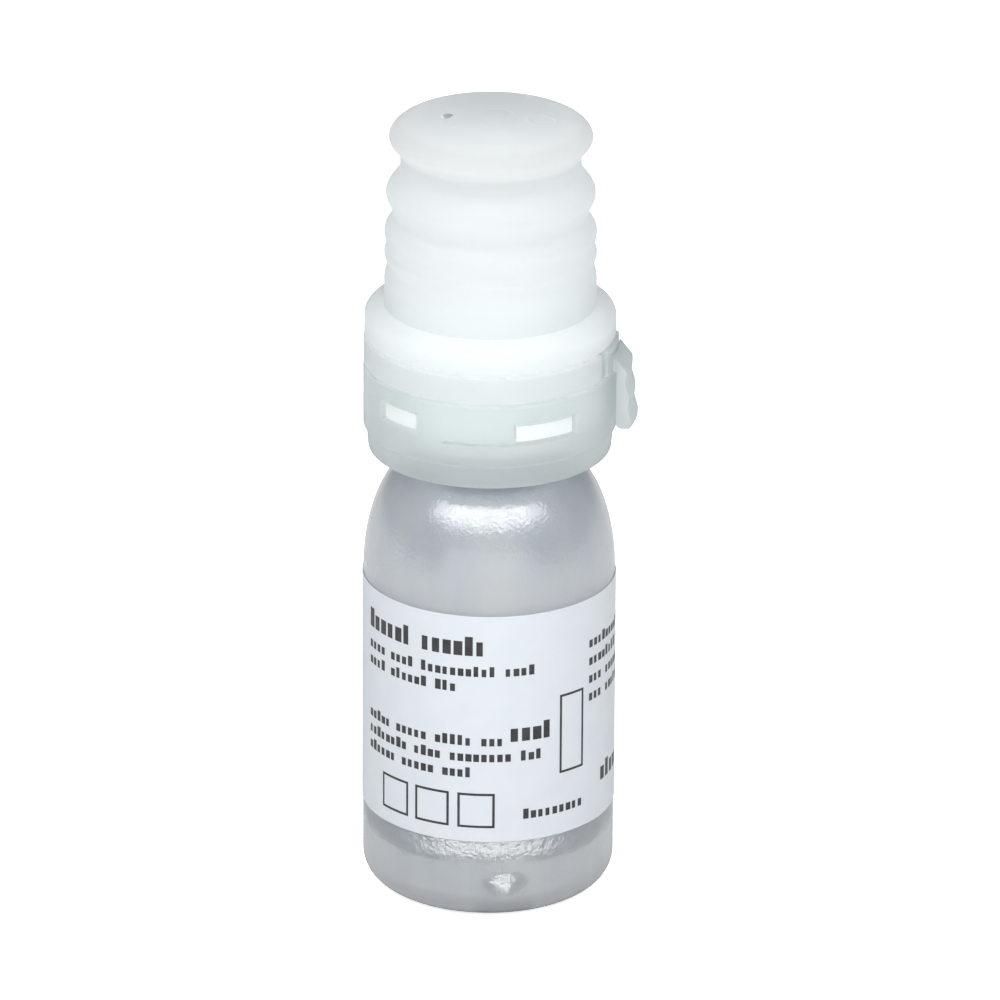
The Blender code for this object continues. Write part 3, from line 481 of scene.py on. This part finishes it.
def mottle(made, base, other, scale, stretch=(1, 1, 1)):
    """Varies the base colour between two close tones, by noise in object space."""
    where = node(made, "ShaderNodeTexCoord")
    mapping = node(made, "ShaderNodeMapping")
    mapping.inputs["Scale"].default_value = stretch
    noise = node(made, "ShaderNodeTexNoise", Scale=scale, Detail=4.0)
    ramp = node(made, "ShaderNodeValToRGB")
    for stop, place, colour in zip(ramp.color_ramp.elements, MOTTLE_STOPS, (base, other)):
        stop.position = place
        stop.color = (*colour, 1)
    link(made, where.outputs["Object"], mapping.inputs["Vector"])
    link(made, mapping.outputs["Vector"], noise.inputs["Vector"])
    link(made, noise.outputs["Fac"], ramp.inputs["Fac"])
    shader = made.node_tree.nodes["Principled BSDF"]
    link(made, ramp.outputs["Color"], shader.inputs["Base Color"])


def roughen(made, scale, strength, distance):
    """Fine surface grain."""
    where = node(made, "ShaderNodeTexCoord")
    noise = node(made, "ShaderNodeTexNoise", Scale=scale, Detail=3.0)
    bump = node(made, "ShaderNodeBump", Strength=strength, Distance=distance)
    link(made, where.outputs["Object"], noise.inputs["Vector"])
    link(made, noise.outputs["Fac"], bump.inputs["Height"])
    shader = made.node_tree.nodes["Principled BSDF"]
    link(made, bump.outputs["Normal"], shader.inputs["Normal"])


def milky(made, colour, share):
    """Mixes in a Translucent shader, for plastic that glows with the light behind it."""
    nodes = made.node_tree.nodes
    through = node(made, "ShaderNodeBsdfTranslucent", Color=(*colour, 1))
    mix = node(made, "ShaderNodeMixShader", Fac=share)
    link(made, nodes["Principled BSDF"].outputs["BSDF"], mix.inputs[1])
    link(made, through.outputs["BSDF"], mix.inputs[2])
    link(made, mix.outputs["Shader"], nodes["Material Output"].inputs["Surface"])


def follow(made):
    """Gives the light that shines through the same colour as the surface."""
    nodes = made.node_tree.nodes
    source = nodes["Principled BSDF"].inputs["Base Color"].links[0].from_socket
    link(made, source, nodes["Translucent BSDF"].inputs["Color"])


def darken(made, grey):
    """Multiplies the base colour by a grey."""
    base = made.node_tree.nodes["Principled BSDF"].inputs["Base Color"]
    blend = node(made, "ShaderNodeMixRGB", blend_type="MULTIPLY", Fac=1.0)
    link(made, base.links[0].from_socket, blend.inputs["Color1"])
    link(made, grey, blend.inputs["Color2"])
    link(made, blend.outputs["Color"], base)


def shade(made, stops):
    """Paints shade into the base colour, as a grey that goes with height, given as (millimetres, grey)."""
    low = stops[0][0]
    high = stops[-1][0]
    where = node(made, "ShaderNodeTexCoord")
    apart = node(made, "ShaderNodeSeparateXYZ")
    share = node(made, "ShaderNodeMapRange", From_Min=low * MM, From_Max=high * MM)
    ramp = node(made, "ShaderNodeValToRGB")
    for index, (height, grey) in enumerate(stops):
        place = (height - low) / (high - low)
        if index < 2:
            stop = ramp.color_ramp.elements[index]
            stop.position = place
        else:
            stop = ramp.color_ramp.elements.new(place)
        stop.color = (grey, grey, grey, 1)
    link(made, where.outputs["Object"], apart.inputs["Vector"])
    link(made, apart.outputs["Z"], share.inputs["Value"])
    link(made, share.outputs["Result"], ramp.inputs["Fac"])
    darken(made, ramp.outputs["Color"])


def distance(made, where, spot):
    """How far a point of the surface lies from a spot, both in metres."""
    away = node(made, "ShaderNodeVectorMath", operation="DISTANCE")
    away.inputs[1].default_value = spot
    link(made, where, away.inputs[0])
    return away.outputs["Value"]


def vent_shade(made):
    """Paints shade on the far wall of the vent hole."""
    x, y, z = VENT
    spot = ((x + VENT_FAR[0]) * MM, (y + VENT_FAR[1]) * MM, z * MM)
    where = node(made, "ShaderNodeTexCoord")
    grey = node(made, "ShaderNodeMapRange", To_Min=VENT_DARK, To_Max=1.0)
    grey.inputs["From Min"].default_value = (1 - VENT_BLUR) * VENT_RADIUS * MM
    grey.inputs["From Max"].default_value = (1 + VENT_BLUR) * VENT_RADIUS * MM
    link(made, distance(made, where.outputs["Object"], spot), grey.inputs["Value"])
    darken(made, grey.outputs["Result"])


def ragged(made, noise, amount, value):
    """Adds noise to a value, up to an amount in millimetres."""
    shifted = node(made, "ShaderNodeMath", operation="MULTIPLY_ADD")
    shifted.inputs[1].default_value = amount * MM
    link(made, noise.outputs["Fac"], shifted.inputs[0])
    link(made, value, shifted.inputs[2])
    return shifted.outputs["Value"]


def fall(made, value, low, high):
    """Falls smoothly from 1 to 0 while a value rises from low to high, in millimetres."""
    slope = node(made, "ShaderNodeMapRange", interpolation_type="SMOOTHSTEP", To_Min=1.0, To_Max=0.0)
    slope.inputs["From Min"].default_value = low * MM
    slope.inputs["From Max"].default_value = high * MM
    link(made, value, slope.inputs["Value"])
    return slope.outputs["Result"]


def relief(made):
    """Blown walls: grain all over, a worn slope under the label, and one blister near the foot."""
    where = node(made, "ShaderNodeTexCoord").outputs["Object"]
    apart = node(made, "ShaderNodeSeparateXYZ")
    cloud = node(made, "ShaderNodeTexNoise", Scale=350.0, Detail=4.0, Roughness=0.8)
    grain = node(made, "ShaderNodeTexNoise", Scale=3000.0, Detail=3.0)
    for target in (apart, cloud, grain):
        link(made, where, target.inputs["Vector"])
    angle = math.radians(BLISTER_ANGLE)
    spot = (BODY * MM * math.cos(angle), BODY * MM * math.sin(angle), BLISTER_HEIGHT * MM)
    height = ragged(made, cloud, SLOPE_RAGGED, apart.outputs["Z"])
    away = ragged(made, cloud, BLISTER_RAGGED, distance(made, where, spot))
    bumps = (
        (grain.outputs["Fac"], GRAIN_DEPTH),
        (fall(made, height, SLOPE_LOW, SLOPE_HIGH), SLOPE_DEPTH),
        (fall(made, away, 0, BLISTER_RADIUS), BLISTER_DEPTH),
    )
    shader = made.node_tree.nodes["Principled BSDF"]
    before = None
    for rise, depth in bumps:
        bump = node(made, "ShaderNodeBump", Strength=1.0, Distance=depth * MM)
        link(made, rise, bump.inputs["Height"])
        if before:
            link(made, before.outputs["Normal"], bump.inputs["Normal"])
        else:
            # The plastic itself shows only the grain, and its gloss shows all three
            link(made, bump.outputs["Normal"], shader.inputs["Normal"])
        before = bump
    link(made, before.outputs["Normal"], shader.inputs["Coat Normal"])


def natural_plastic(name, base, other, transmission, roughness, share, **inputs):
    """Unpigmented plastic with a fine grain. The share is that of the light that shines through."""
    made = material(name, base, roughness, Transmission_Weight=transmission, **inputs)
    mottle(made, base, other, scale=180)
    roughen(made, scale=900, strength=0.15, distance=0.0001)
    milky(made, base, share)
    return made


def make_cap_plastic():
    made = natural_plastic(
        "cap_plastic", (0.962, 0.976, 0.981), (0.97, 0.984, 0.987),
        transmission=0.3, roughness=0.45, share=0.78, IOR=1.45,
        Subsurface_Weight=1.0, Subsurface_Radius=(1, 1, 1), Subsurface_Scale=0.006,
    )
    # Painted shade: the cap darker round the rim of its crown
    shade(made, CAP_RIM_PAINTED_SHADE)
    # Painted shade on the far wall of the vent hole
    vent_shade(made)
    follow(made)
    return made


def make_collar_plastic():
    made = natural_plastic(
        "collar_plastic", (0.945, 0.98, 0.982), (0.955, 0.985, 0.987),
        transmission=0.9, roughness=0.4, share=0.42, IOR=1.33,
    )
    # Painted shade: the collar darker towards its foot
    shade(made, COLLAR_FOOT_PAINTED_SHADE)
    return made


def make_tab_plastic():
    return natural_plastic(
        "tab_plastic", (0.9, 0.94, 0.945), (0.915, 0.95, 0.955),
        transmission=0.75, roughness=0.45, share=0.3, IOR=1.45,
    )


def make_bottle_plastic():
    """Milky plastic under a gloss of its own, mottled in upright streaks."""
    made = material(
        "bottle_plastic", (0.85, 0.9, 0.94), roughness=0.42, IOR=1.49, Transmission_Weight=0.72,
        Coat_Weight=1.0, Coat_Roughness=0.1, Coat_IOR=2.3,
    )
    mottle(made, (0.8, 0.86, 0.925), (0.925, 0.965, 0.995), scale=220, stretch=(1, 1, 0.12))
    # Painted shade: the bottle darker towards its foot
    shade(made, BOTTLE_FOOT_PAINTED_SHADE)
    milky(made, (0.8, 0.86, 0.92), share=0.12)
    relief(made)
    return made


def plain(name, base, low, high, scale, roughness, **inputs):
    """An opaque or clear material that varies between two tones close to its base colour."""
    made = material(name, base, roughness, **inputs)
    mottle(made, low, high, scale)
    return made


cap_plastic = make_cap_plastic()
collar_plastic = make_collar_plastic()
tab_plastic = make_tab_plastic()
bottle_plastic = make_bottle_plastic()
# A darker copy of the white plastic, which paints in the shade where the lugs sit in the collar's windows
shaded_lug_plastic = plain(
    "shaded_lug_plastic", (0.79, 0.84, 0.84), (0.77, 0.82, 0.82), (0.81, 0.86, 0.86),
    scale=150, roughness=0.45, IOR=1.49,
)
white_plastic = plain(
    "white_plastic", (0.9, 0.92, 0.92), (0.88, 0.9, 0.9), (0.92, 0.93, 0.93),
    scale=150, roughness=0.4, IOR=1.49,
)
label_paper = plain(
    "label_paper", (0.635, 0.675, 0.715), (0.625, 0.665, 0.71), (0.645, 0.685, 0.72),
    scale=400, roughness=0.45, IOR=1.45,
)
ink = plain(
    "ink", (0.02, 0.02, 0.025), (0.018, 0.018, 0.022), (0.035, 0.035, 0.04),
    scale=700, roughness=0.5,
)
water = plain(
    "water", (0.97, 0.99, 1.0), (0.96, 0.985, 1.0), (0.98, 0.995, 1.0),
    scale=60, roughness=0.02, IOR=1.33, Transmission_Weight=1.0,
)
rubber = plain(
    "rubber", (0.7, 0.7, 0.68), (0.68, 0.68, 0.66), (0.73, 0.73, 0.71),
    scale=300, roughness=0.6,
)
felt = plain(
    "felt", (0.8, 0.8, 0.78), (0.76, 0.76, 0.74), (0.84, 0.84, 0.82),
    scale=1200, roughness=0.9,
)
steel = plain(
    "steel", (0.6, 0.6, 0.62), (0.58, 0.58, 0.6), (0.63, 0.63, 0.65),
    scale=300, roughness=0.25, Metallic=1.0,
)
roughen(white_plastic, scale=900, strength=0.12, distance=0.0001)
roughen(label_paper, scale=1500, strength=0.1, distance=0.00005)
roughen(felt, scale=2500, strength=0.6, distance=0.0002)


def make_bottle():
    inside = rounded([(0, BORE_FLOOR), (BORE, BORE_FLOOR, BORE_FOOT), (BORE, SHOULDER)], steps=8)
    inside += quarter((BORE, SHOULDER), (NECK_BORE, 44.2), steps=24)[1:]
    # The last corner lies on the shoulder's curve and only guides the rounding before it
    neck = rounded(
        [
            (NECK_BORE, 54.4, 0.2),
            (NECK, 54.4, 0.4),
            (NECK, 51.8),
            (8.4, 50.6, 0.1),
            (8.4, 50.2, 0.1),
            (NECK, 50.2),
            (NECK, 44.75, 0.7),
            (8.52, 44.29),
        ],
    )[:-1]
    shoulder = quarter((BODY, SHOULDER), (6.5, 45.0), steps=30, upto=70)
    base = rounded(
        [
            (BODY, SHOULDER),
            (BODY, 0, 3.8),
            (6.85, 0, 0.2),
            (6.05, 0.5, 0.2),
            (3.2, 0.5, 0.2),
            (2.4, 0, 0.2),
            (0, 0),
        ],
        steps=10,
    )[1:]
    mesh = lathe("bottle_shell", inside + neck + shoulder[::-1] + base)
    add("bottle_shell", mesh, bottle_plastic, "bottle_body", ("bottle",))


def make_liquid():
    """The liquid, a hair clear of the bottle's inner wall, with its surface drawn up at the edge."""
    radius = BORE - LIQUID_GAP
    low_z = BORE_FLOOR + LIQUID_GAP
    points = rounded([(0, low_z), (radius, low_z, BORE_FOOT), (radius, LIQUID_EDGE)], steps=8)
    points += LIQUID_SURFACE
    add("liquid", lathe("liquid", points), water, "bottle_body", ())


def make_label():
    corners = [
        (LABEL_OUTER, LABEL_HIGH, LABEL_EDGE),
        (LABEL_OUTER, LABEL_LOW, LABEL_EDGE),
        (LABEL_INNER, LABEL_LOW),
        (LABEL_INNER, LABEL_HIGH),
    ]
    mesh = lathe("label_wrap", rounded(corners), FINE, LABEL_START, LABEL_SWEEP)
    add("label_wrap", mesh, label_paper, "bottle_body", ("label",))


def patch(low_z, high_z, start, sweep, segments=2):
    """A patch of ink on the label."""
    return sector_mesh(INK_LOW, INK, low_z, high_z, start, sweep, segments)


def make_marks():
    """Rows of plain blocks and empty frames on the label."""
    draw = random.Random(BLOCK_SEED)
    marks = []
    for start, end, low_z, height, step in BLOCK_ROWS:
        place = start
        while place < end:
            stop = place + step * draw.randint(*BLOCK_RUNS)
            while place < min(stop, end):
                wide = step * draw.uniform(*BLOCK_WIDTHS)
                tall = height * draw.choice(BLOCK_HEIGHTS)
                marks.append(patch(low_z, low_z + tall, place, wide))
                place += step
            place += step
    side = math.degrees(FRAME_LINE / BODY)
    for start, low_z, sweep, height in LABEL_FRAMES:
        high_z = low_z + height
        marks.append(patch(low_z, low_z + FRAME_LINE, start, sweep, 8))
        marks.append(patch(high_z - FRAME_LINE, high_z, start, sweep, 8))
        for edge in (start, start + sweep - side):
            marks.append(patch(low_z + FRAME_LINE, high_z - FRAME_LINE, edge, side))
    add("label_marks", joined("label_marks", marks), ink, "bottle_body", ())


def make_head():
    """The white body that snaps on the neck."""
    corners = [
        (7.1, 61.1, 0.2),
        (7.1, 59.25),
        (7.35, 59.0),
        (7.1, 58.75),
        (7.1, 56.9, 0.2),
        (DRUM, 56.9, 0.5),
        (DRUM, 50.7, 0.1),
        (10.3, 50.7, 0.1),
        (10.3, 55.7, 0.2),
        (9.7, 55.7, 0.2),
        (9.7, 48.6, 0.1),
        (8.7, 48.6, 0.1),
        (7.8, 49.2, 0.1),
        (7.8, 49.9, 0.1),
        (8.7, 49.9),
        (8.7, 55.7),
        (5.6, 55.7),
        (5.6, 52.4),
        (5.35, 51.7, 0.1),
        (4.9, 51.7, 0.1),
        (4.9, 56.9, 0.1),
        (6.2, 56.9),
        (6.2, 61.1, 0.2),
    ]
    mesh = lathe("head_body", rounded(corners))
    add("head_body", mesh, white_plastic, "bottle_body", ("dispenser_body",))


def make_lugs():
    """Lugs of the white body, which stand in the collar's windows, in a darker copy of its plastic with
    their shade painted in.
    """
    lugs = []
    for side in WINDOWS:
        for start, end, low_z, height in OPENINGS:
            bottom = low_z + SEAT_GAP
            top = low_z + height - SEAT_GAP
            sweep = end - start - 2 * LUG_CLEAR
            lugs.append(sector_mesh(LUG_INNER, LUG_OUTER, bottom, top, side + start + LUG_CLEAR, sweep))
    add("head_lugs", joined("head_lugs", lugs), shaded_lug_plastic, "bottle_body", ())


def make_nozzle():
    corners = [
        (0.45, 76.9, 0.1),
        (2.6, 76.9, 1.3),
        (4.2, 68.38, 2.0),
        (7.64, 65.54, 2.0),
        (8.3, 62.7, 0.5),
        (8.3, 60.8, 0.2),
        (DRUM, 59.5, 0.8),
        (DRUM, 57.2, 0.1),
        (10.2, 57.2, 0.1),
        (10.2, 59.0, 0.2),
        (8.55, 59.0, 0.2),
        (8.55, 57.2, 0.1),
        (7.4, 57.2, 0.1),
        (7.4, 58.45),
        (7.65, 59.0),
        (7.4, 59.55),
        (7.4, 61.4),
        (5.1, 61.4),
        (5.1, 62.5),
        (3.2, 62.5),
        (3.2, 70.2),
        (1.6, 70.2),
        (1.6, 74.7),
        (0.45, 76.2),
    ]
    mesh = lathe("nozzle_shell", rounded(corners, steps=6), COARSE)
    add("nozzle_shell", mesh, white_plastic, "bottle_body", ("nozzle",))


def make_collar():
    """The collar, with its foot stepped in, and two windows cut through it."""
    corners = [
        (BODY, COLLAR_HIGH, 0.15),
        (BODY, COLLAR_LOW + 2.5, 0.12),
        (BODY - 0.3, COLLAR_LOW + 2.2, 0.1),
        (BODY - 0.5, COLLAR_LOW, 0.2),
        (11.2, COLLAR_LOW, 0.15),
        (11.2, 49.2),
        (10.8, 49.8, 0.1),
        (10.8, 50.4, 0.05),
        (RING_BORE, 50.4),
        (RING_BORE, COLLAR_HIGH, 0.1),
    ]
    mesh = lathe("collar_ring", rounded(corners))
    piece = add("collar_ring", mesh, collar_plastic, "bottle_body", ("collar",))
    cuts = []
    for side in WINDOWS:
        for start, end, low_z, height in (*OPENINGS, SLIT):
            cuts.append(sector_mesh(CUT_INNER, CUT_OUTER, low_z, low_z + height, side + start, end - start))
    boolean(piece, cuts, "DIFFERENCE")


def make_band():
    """The tear band, open beside the tab, with its small bridges."""
    corners = [
        (RING, BAND_HIGH, 0.15),
        (RING, BAND_LOW, 0.15),
        (RING_BORE, BAND_LOW, 0.08),
        (RING_BORE, BAND_HIGH, 0.08),
    ]
    mesh = lathe("tear_band_ring", rounded(corners))
    piece = add("tear_band_ring", mesh, cap_plastic, "tear_strip", ("tear_band",))
    low_z = BAND_LOW - BRIDGE_REACH
    high_z = BAND_HIGH + BRIDGE_REACH
    posts = []
    for index in range(BRIDGES):
        start = BRIDGE_START + 360 / BRIDGES * index
        posts.append(sector_mesh(BRIDGE_INNER, BRIDGE_OUTER, low_z, high_z, start, BRIDGE_SWEEP, 2))
    boolean(piece, posts, "UNION")
    side = BAND_CUT_HALF
    tail_end = -side - BAND_CUT_ROUND - BAND_CUT_SPARE
    corners = [
        (side, BAND_LOW - BAND_CUT_SPARE),
        (side, BAND_HIGH + BAND_CUT_SPARE),
        (-side, BAND_HIGH + BAND_CUT_SPARE),
        (-side, BAND_LOW, BAND_CUT_ROUND),
        (tail_end, BAND_LOW),
        (tail_end, BAND_LOW - BAND_CUT_SPARE),
    ]
    cut = pushed("end", rounded(corners, steps=8), BAND_CUT_DEPTH)
    turn = Matrix.Rotation(math.radians(BAND_CUT_TURN), 4, "Z")
    outwards = Matrix.Translation(((RING + RING_BORE) / 2 * MM, 0, 0))
    cut.transform(turn @ outwards @ Matrix.Rotation(math.radians(90), 4, "Z"))
    boolean(piece, [cut], "DIFFERENCE")


def make_tab():
    """The pull tab: its side view pushed through and curved, with its root following the band."""
    outline = list(TAB_SIDE)
    for step in range(TAB_FACE_STEPS + 1):
        share = step / TAB_FACE_STEPS
        groove = TAB_GROOVE_DEPTH * math.sin(math.pi * TAB_GROOVES * share) ** 2
        out = TAB_FACE[0] + TAB_FACE_RUN[0] * share - groove
        outline.append((out, TAB_FACE[1] + TAB_FACE_RUN[1] * share))
    outline.append((0, 0))
    radius, height = TAB_HINGE
    mesh = pushed("tab", rounded(outline, steps=8), TAB_WIDTH, slices=16)
    mesh.transform(Matrix.Translation((radius * MM, 0, height * MM)))
    for vert in mesh.vertices:
        vert.co.x -= vert.co.y ** 2 / (2 * TAB_CURVE * MM)
    piece = add("tab", mesh, tab_plastic, "pull_tab", ("pull_tab",))
    # The root is cut back to a round at the hinge, which follows the band
    high_z = height + 2
    low_z = height - 9
    core = lathe("core", [(0, high_z), (radius, high_z), (radius, low_z), (0, low_z)])
    boolean(piece, [core], "DIFFERENCE")
    bevel = piece.modifiers.new("edges", "BEVEL")
    bevel.width = TAB_EDGE * MM
    bevel.segments = 2
    bevel.limit_method = "ANGLE"
    bevel.angle_limit = math.radians(50)


def make_web():
    """The band's land beside its open end, and the thin web by which the tab hangs from it."""
    land = lathe("tab_land", rounded(LAND), 24, LAND_START, LAND_SWEEP)
    add("tab_land", land, tab_plastic, "tear_strip", ())
    web = lathe("tab_web", WEB, 12, WEB_START, WEB_SWEEP)
    piece = add("tab_web", web, tab_plastic, None, ())
    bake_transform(piece)


def crown_height(x, y):
    """Height of the crown's faint marks at a point, in millimetres."""
    height = 0.0
    for middle_x, middle_y, ring, start, end, width in CROWN_MARKS:
        radius = math.hypot(x - middle_x, y - middle_y)
        angle = math.degrees(math.atan2(y - middle_y, x - middle_x)) % 360
        across = abs(radius - ring) / (width / 2)
        along = min(angle - start, end - angle) * math.radians(1) * ring / (width / 2)
        if end - start >= 360:
            along = 1
        if across < 1 and along > 0:
            swell = math.cos(across * math.pi / 2) ** 2 * math.sin(min(1, along) * math.pi / 2)
            height = max(height, MARK_HEIGHT * swell)
    return height


def make_cap():
    """The overcap. Its crown starts lower by the height of the marks, so that they stay under the top."""
    crown = [(0, TOP - MARK_HEIGHT)]
    for index in range(1, CROWN_RINGS + 1):
        radius = CROWN_FLAT * index / CROWN_RINGS
        share = radius / CROWN_FLAT
        crown.append((radius, TOP - MARK_HEIGHT * (1 - share) - CROWN_DROP * share ** 2))
    rim = quarter(GRIP[-1], (CROWN_FLAT, TOP - CROWN_DROP), steps=16)[::-1][1:]
    grip = wave(GRIP, WAVE_STEPS)[::-1][1:]
    shoulder = quarter((SKIRT, SKIRT_HIGH), GRIP[0], steps=16)[::-1][1:]
    inside = rounded(
        [
            (SKIRT, SKIRT_HIGH),
            (SKIRT, SKIRT_LOW, 0.15),
            (RING_BORE, SKIRT_LOW, 0.1),
            (RING_BORE, SKIRT_HIGH, 0.3),
            (CAP_BORE, 61.1, 0.5),
            (CAP_BORE, 72.75, 1.0),
            (CROWN_BORE, 74.95, 1.0),
            (CROWN_BORE, ROOF, 0.7),
            (SEAL_OUTER, ROOF, 0.2),
            (SEAL_OUTER, SEAL_LOW, 0.1),
            (SEAL_INNER, SEAL_LOW, 0.1),
            (SEAL_INNER, ROOF, 0.2),
            (0, ROOF),
        ],
        steps=5,
    )[1:]
    mesh = lathe("overcap", crown + rim + grip + shoulder + inside, FINEST)
    for vert in mesh.vertices:
        x, y, z = (value / MM for value in vert.co)
        if z > TOP - CROWN_DROP - 0.1 and math.hypot(x, y) < CROWN_FLAT:
            vert.co.z += crown_height(x, y) * MM
    piece = add("overcap", mesh, cap_plastic, "overcap", ("cap",))
    drill = [(0, HOLE_HIGH), (VENT_RADIUS, HOLE_HIGH), (VENT_RADIUS, HOLE_LOW), (0, HOLE_LOW)]
    hole = lathe("hole", drill, segments=32)
    hole.transform(Matrix.Translation((VENT[0] * MM, VENT[1] * MM, 0)))
    boolean(piece, [hole], "DIFFERENCE")


def make_spring():
    """The valve's coil, finer than the solid it stands for."""
    curve = bpy.data.curves.new("spring_coil", "CURVE")
    curve.dimensions = "3D"
    curve.bevel_depth = WIRE * MM
    curve.bevel_resolution = 4
    curve.use_fill_caps = True
    spline = curve.splines.new("POLY")
    count = round(COIL_TURNS * COIL_STEPS)
    spline.points.add(count)
    for index, knot in enumerate(spline.points):
        angle = math.tau * index / COIL_STEPS
        height = COIL_LOW + COIL_RISE * index / count
        knot.co = (COIL * MM * math.cos(angle), COIL * MM * math.sin(angle), height * MM, 1)
    coil = stand("coil", curve)
    mesh = evaluated(coil)
    bpy.data.objects.remove(coil)
    mesh.materials.clear()
    smooth(mesh)
    piece = add("spring_coil", mesh, steel, "bottle_body", ("valve_spring",))
    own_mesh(piece)


def dress(name, made):
    """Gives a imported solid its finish."""
    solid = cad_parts[name]
    solid.data.materials.clear()
    solid.data.materials.append(made)
    smooth_faces = [True] * len(solid.data.polygons)
    solid.data.polygons.foreach_set("use_smooth", smooth_faces)


def towards(turn, rise):
    """The direction from the bottle, at an angle round it and an angle up, in radians."""
    level = math.cos(rise)
    return Vector((math.sin(turn) * level, -math.cos(turn) * level, math.sin(rise)))


def make_panel(turn, rise, away, width, tall, radiance):
    """A soft light that faces the bottle."""
    light = bpy.data.lights.new("panel", "AREA")
    light.shape = "RECTANGLE"
    light.size = width
    light.size_y = tall
    light.energy = radiance * math.pi * width * tall
    lamp = stand("panel", light)
    way = towards(VIEW_TURN + math.radians(turn), math.radians(rise))
    lamp.location = Vector((0, 0, VIEW_HEIGHT)) + way * away
    lamp.rotation_euler = way.to_track_quat("Z", "Y").to_euler()


def make_camera():
    camera = bpy.data.cameras.new("camera")
    camera.lens = VIEW_LENS
    camera.sensor_width = 36
    camera.shift_x = VIEW_SHIFT
    camera.clip_end = 20
    holder = stand("camera", camera)
    way = towards(VIEW_TURN, VIEW_RISE)
    holder.location = Vector((0, 0, VIEW_HEIGHT)) + way * VIEW_DISTANCE
    lean = Matrix.Rotation(VIEW_LEAN, 3, "Z")
    holder.rotation_euler = (way.to_track_quat("Z", "Y").to_matrix() @ lean).to_euler()
    bpy.context.scene.camera = holder


def make_floor():
    """A white floor that still takes the bottle's shadow."""
    shape = bmesh.new()
    bmesh.ops.create_grid(shape, x_segments=1, y_segments=1, size=FLOOR_SIZE)
    mesh = bpy.data.meshes.new("floor")
    shape.to_mesh(mesh)
    shape.free()
    floor = stand("floor", mesh)
    floor.location.z = -FLOOR_DROP
    made = material("floor", (0.9, 0.9, 0.9), 0.9, Specular_IOR_Level=0.0)
    path = node(made, "ShaderNodeLightPath")
    where = node(made, "ShaderNodeTexCoord")
    away = node(made, "ShaderNodeVectorMath", operation="LENGTH")
    rise = node(made, "ShaderNodeMapRange")
    for end, (radius, strength) in (("Min", GLOW_NEAR), ("Max", GLOW_FAR)):
        rise.inputs["From " + end].default_value = radius
        rise.inputs["To " + end].default_value = strength
    glow = node(made, "ShaderNodeEmission")
    both = node(made, "ShaderNodeAddShader")
    seen = node(made, "ShaderNodeMixShader")
    surface = made.node_tree.nodes["Principled BSDF"]
    link(made, where.outputs["Object"], away.inputs[0])
    link(made, away.outputs["Value"], rise.inputs["Value"])
    link(made, rise.outputs["Result"], glow.inputs["Strength"])
    link(made, surface.outputs["BSDF"], both.inputs[0])
    link(made, glow.outputs["Emission"], both.inputs[1])
    link(made, path.outputs["Is Camera Ray"], seen.inputs["Fac"])
    link(made, surface.outputs["BSDF"], seen.inputs[1])
    link(made, both.outputs["Shader"], seen.inputs[2])
    link(made, seen.outputs["Shader"], made.node_tree.nodes["Material Output"].inputs["Surface"])
    mesh.materials.append(made)


def make_world():
    """Even light from all round, and plain white where the camera sees past the floor."""
    world = bpy.data.worlds.new("studio")
    bpy.context.scene.world = world
    world.use_nodes = True
    light = world.node_tree.nodes["Background"]
    white = node(world, "ShaderNodeBackground")
    for back, strength in ((light, WORLD_LIGHT), (white, 1.0)):
        back.inputs["Color"].default_value = (1, 1, 1, 1)
        back.inputs["Strength"].default_value = strength
    path = node(world, "ShaderNodeLightPath")
    mix = node(world, "ShaderNodeMixShader")
    link(world, path.outputs["Is Camera Ray"], mix.inputs["Fac"])
    link(world, light.outputs["Background"], mix.inputs[1])
    link(world, white.outputs["Background"], mix.inputs[2])
    link(world, mix.outputs["Shader"], world.node_tree.nodes["World Output"].inputs["Surface"])


make_bottle()
make_liquid()
make_label()
make_marks()
make_head()
make_lugs()
make_nozzle()
make_collar()
make_band()
make_tab()
make_web()
make_cap()
make_spring()
for solid_name, finish in (
    ("neck_gasket", rubber),
    ("valve_seal", rubber),
    ("vent_filter", felt),
    ("filter_retainer", white_plastic),
    ("channel_insert", white_plastic),
    ("valve_pin", white_plastic),
):
    dress(solid_name, finish)

make_camera()
make_floor()
make_world()
for panel in PANELS:
    make_panel(*panel)
bpy.context.scene.view_settings.view_transform = "Standard"
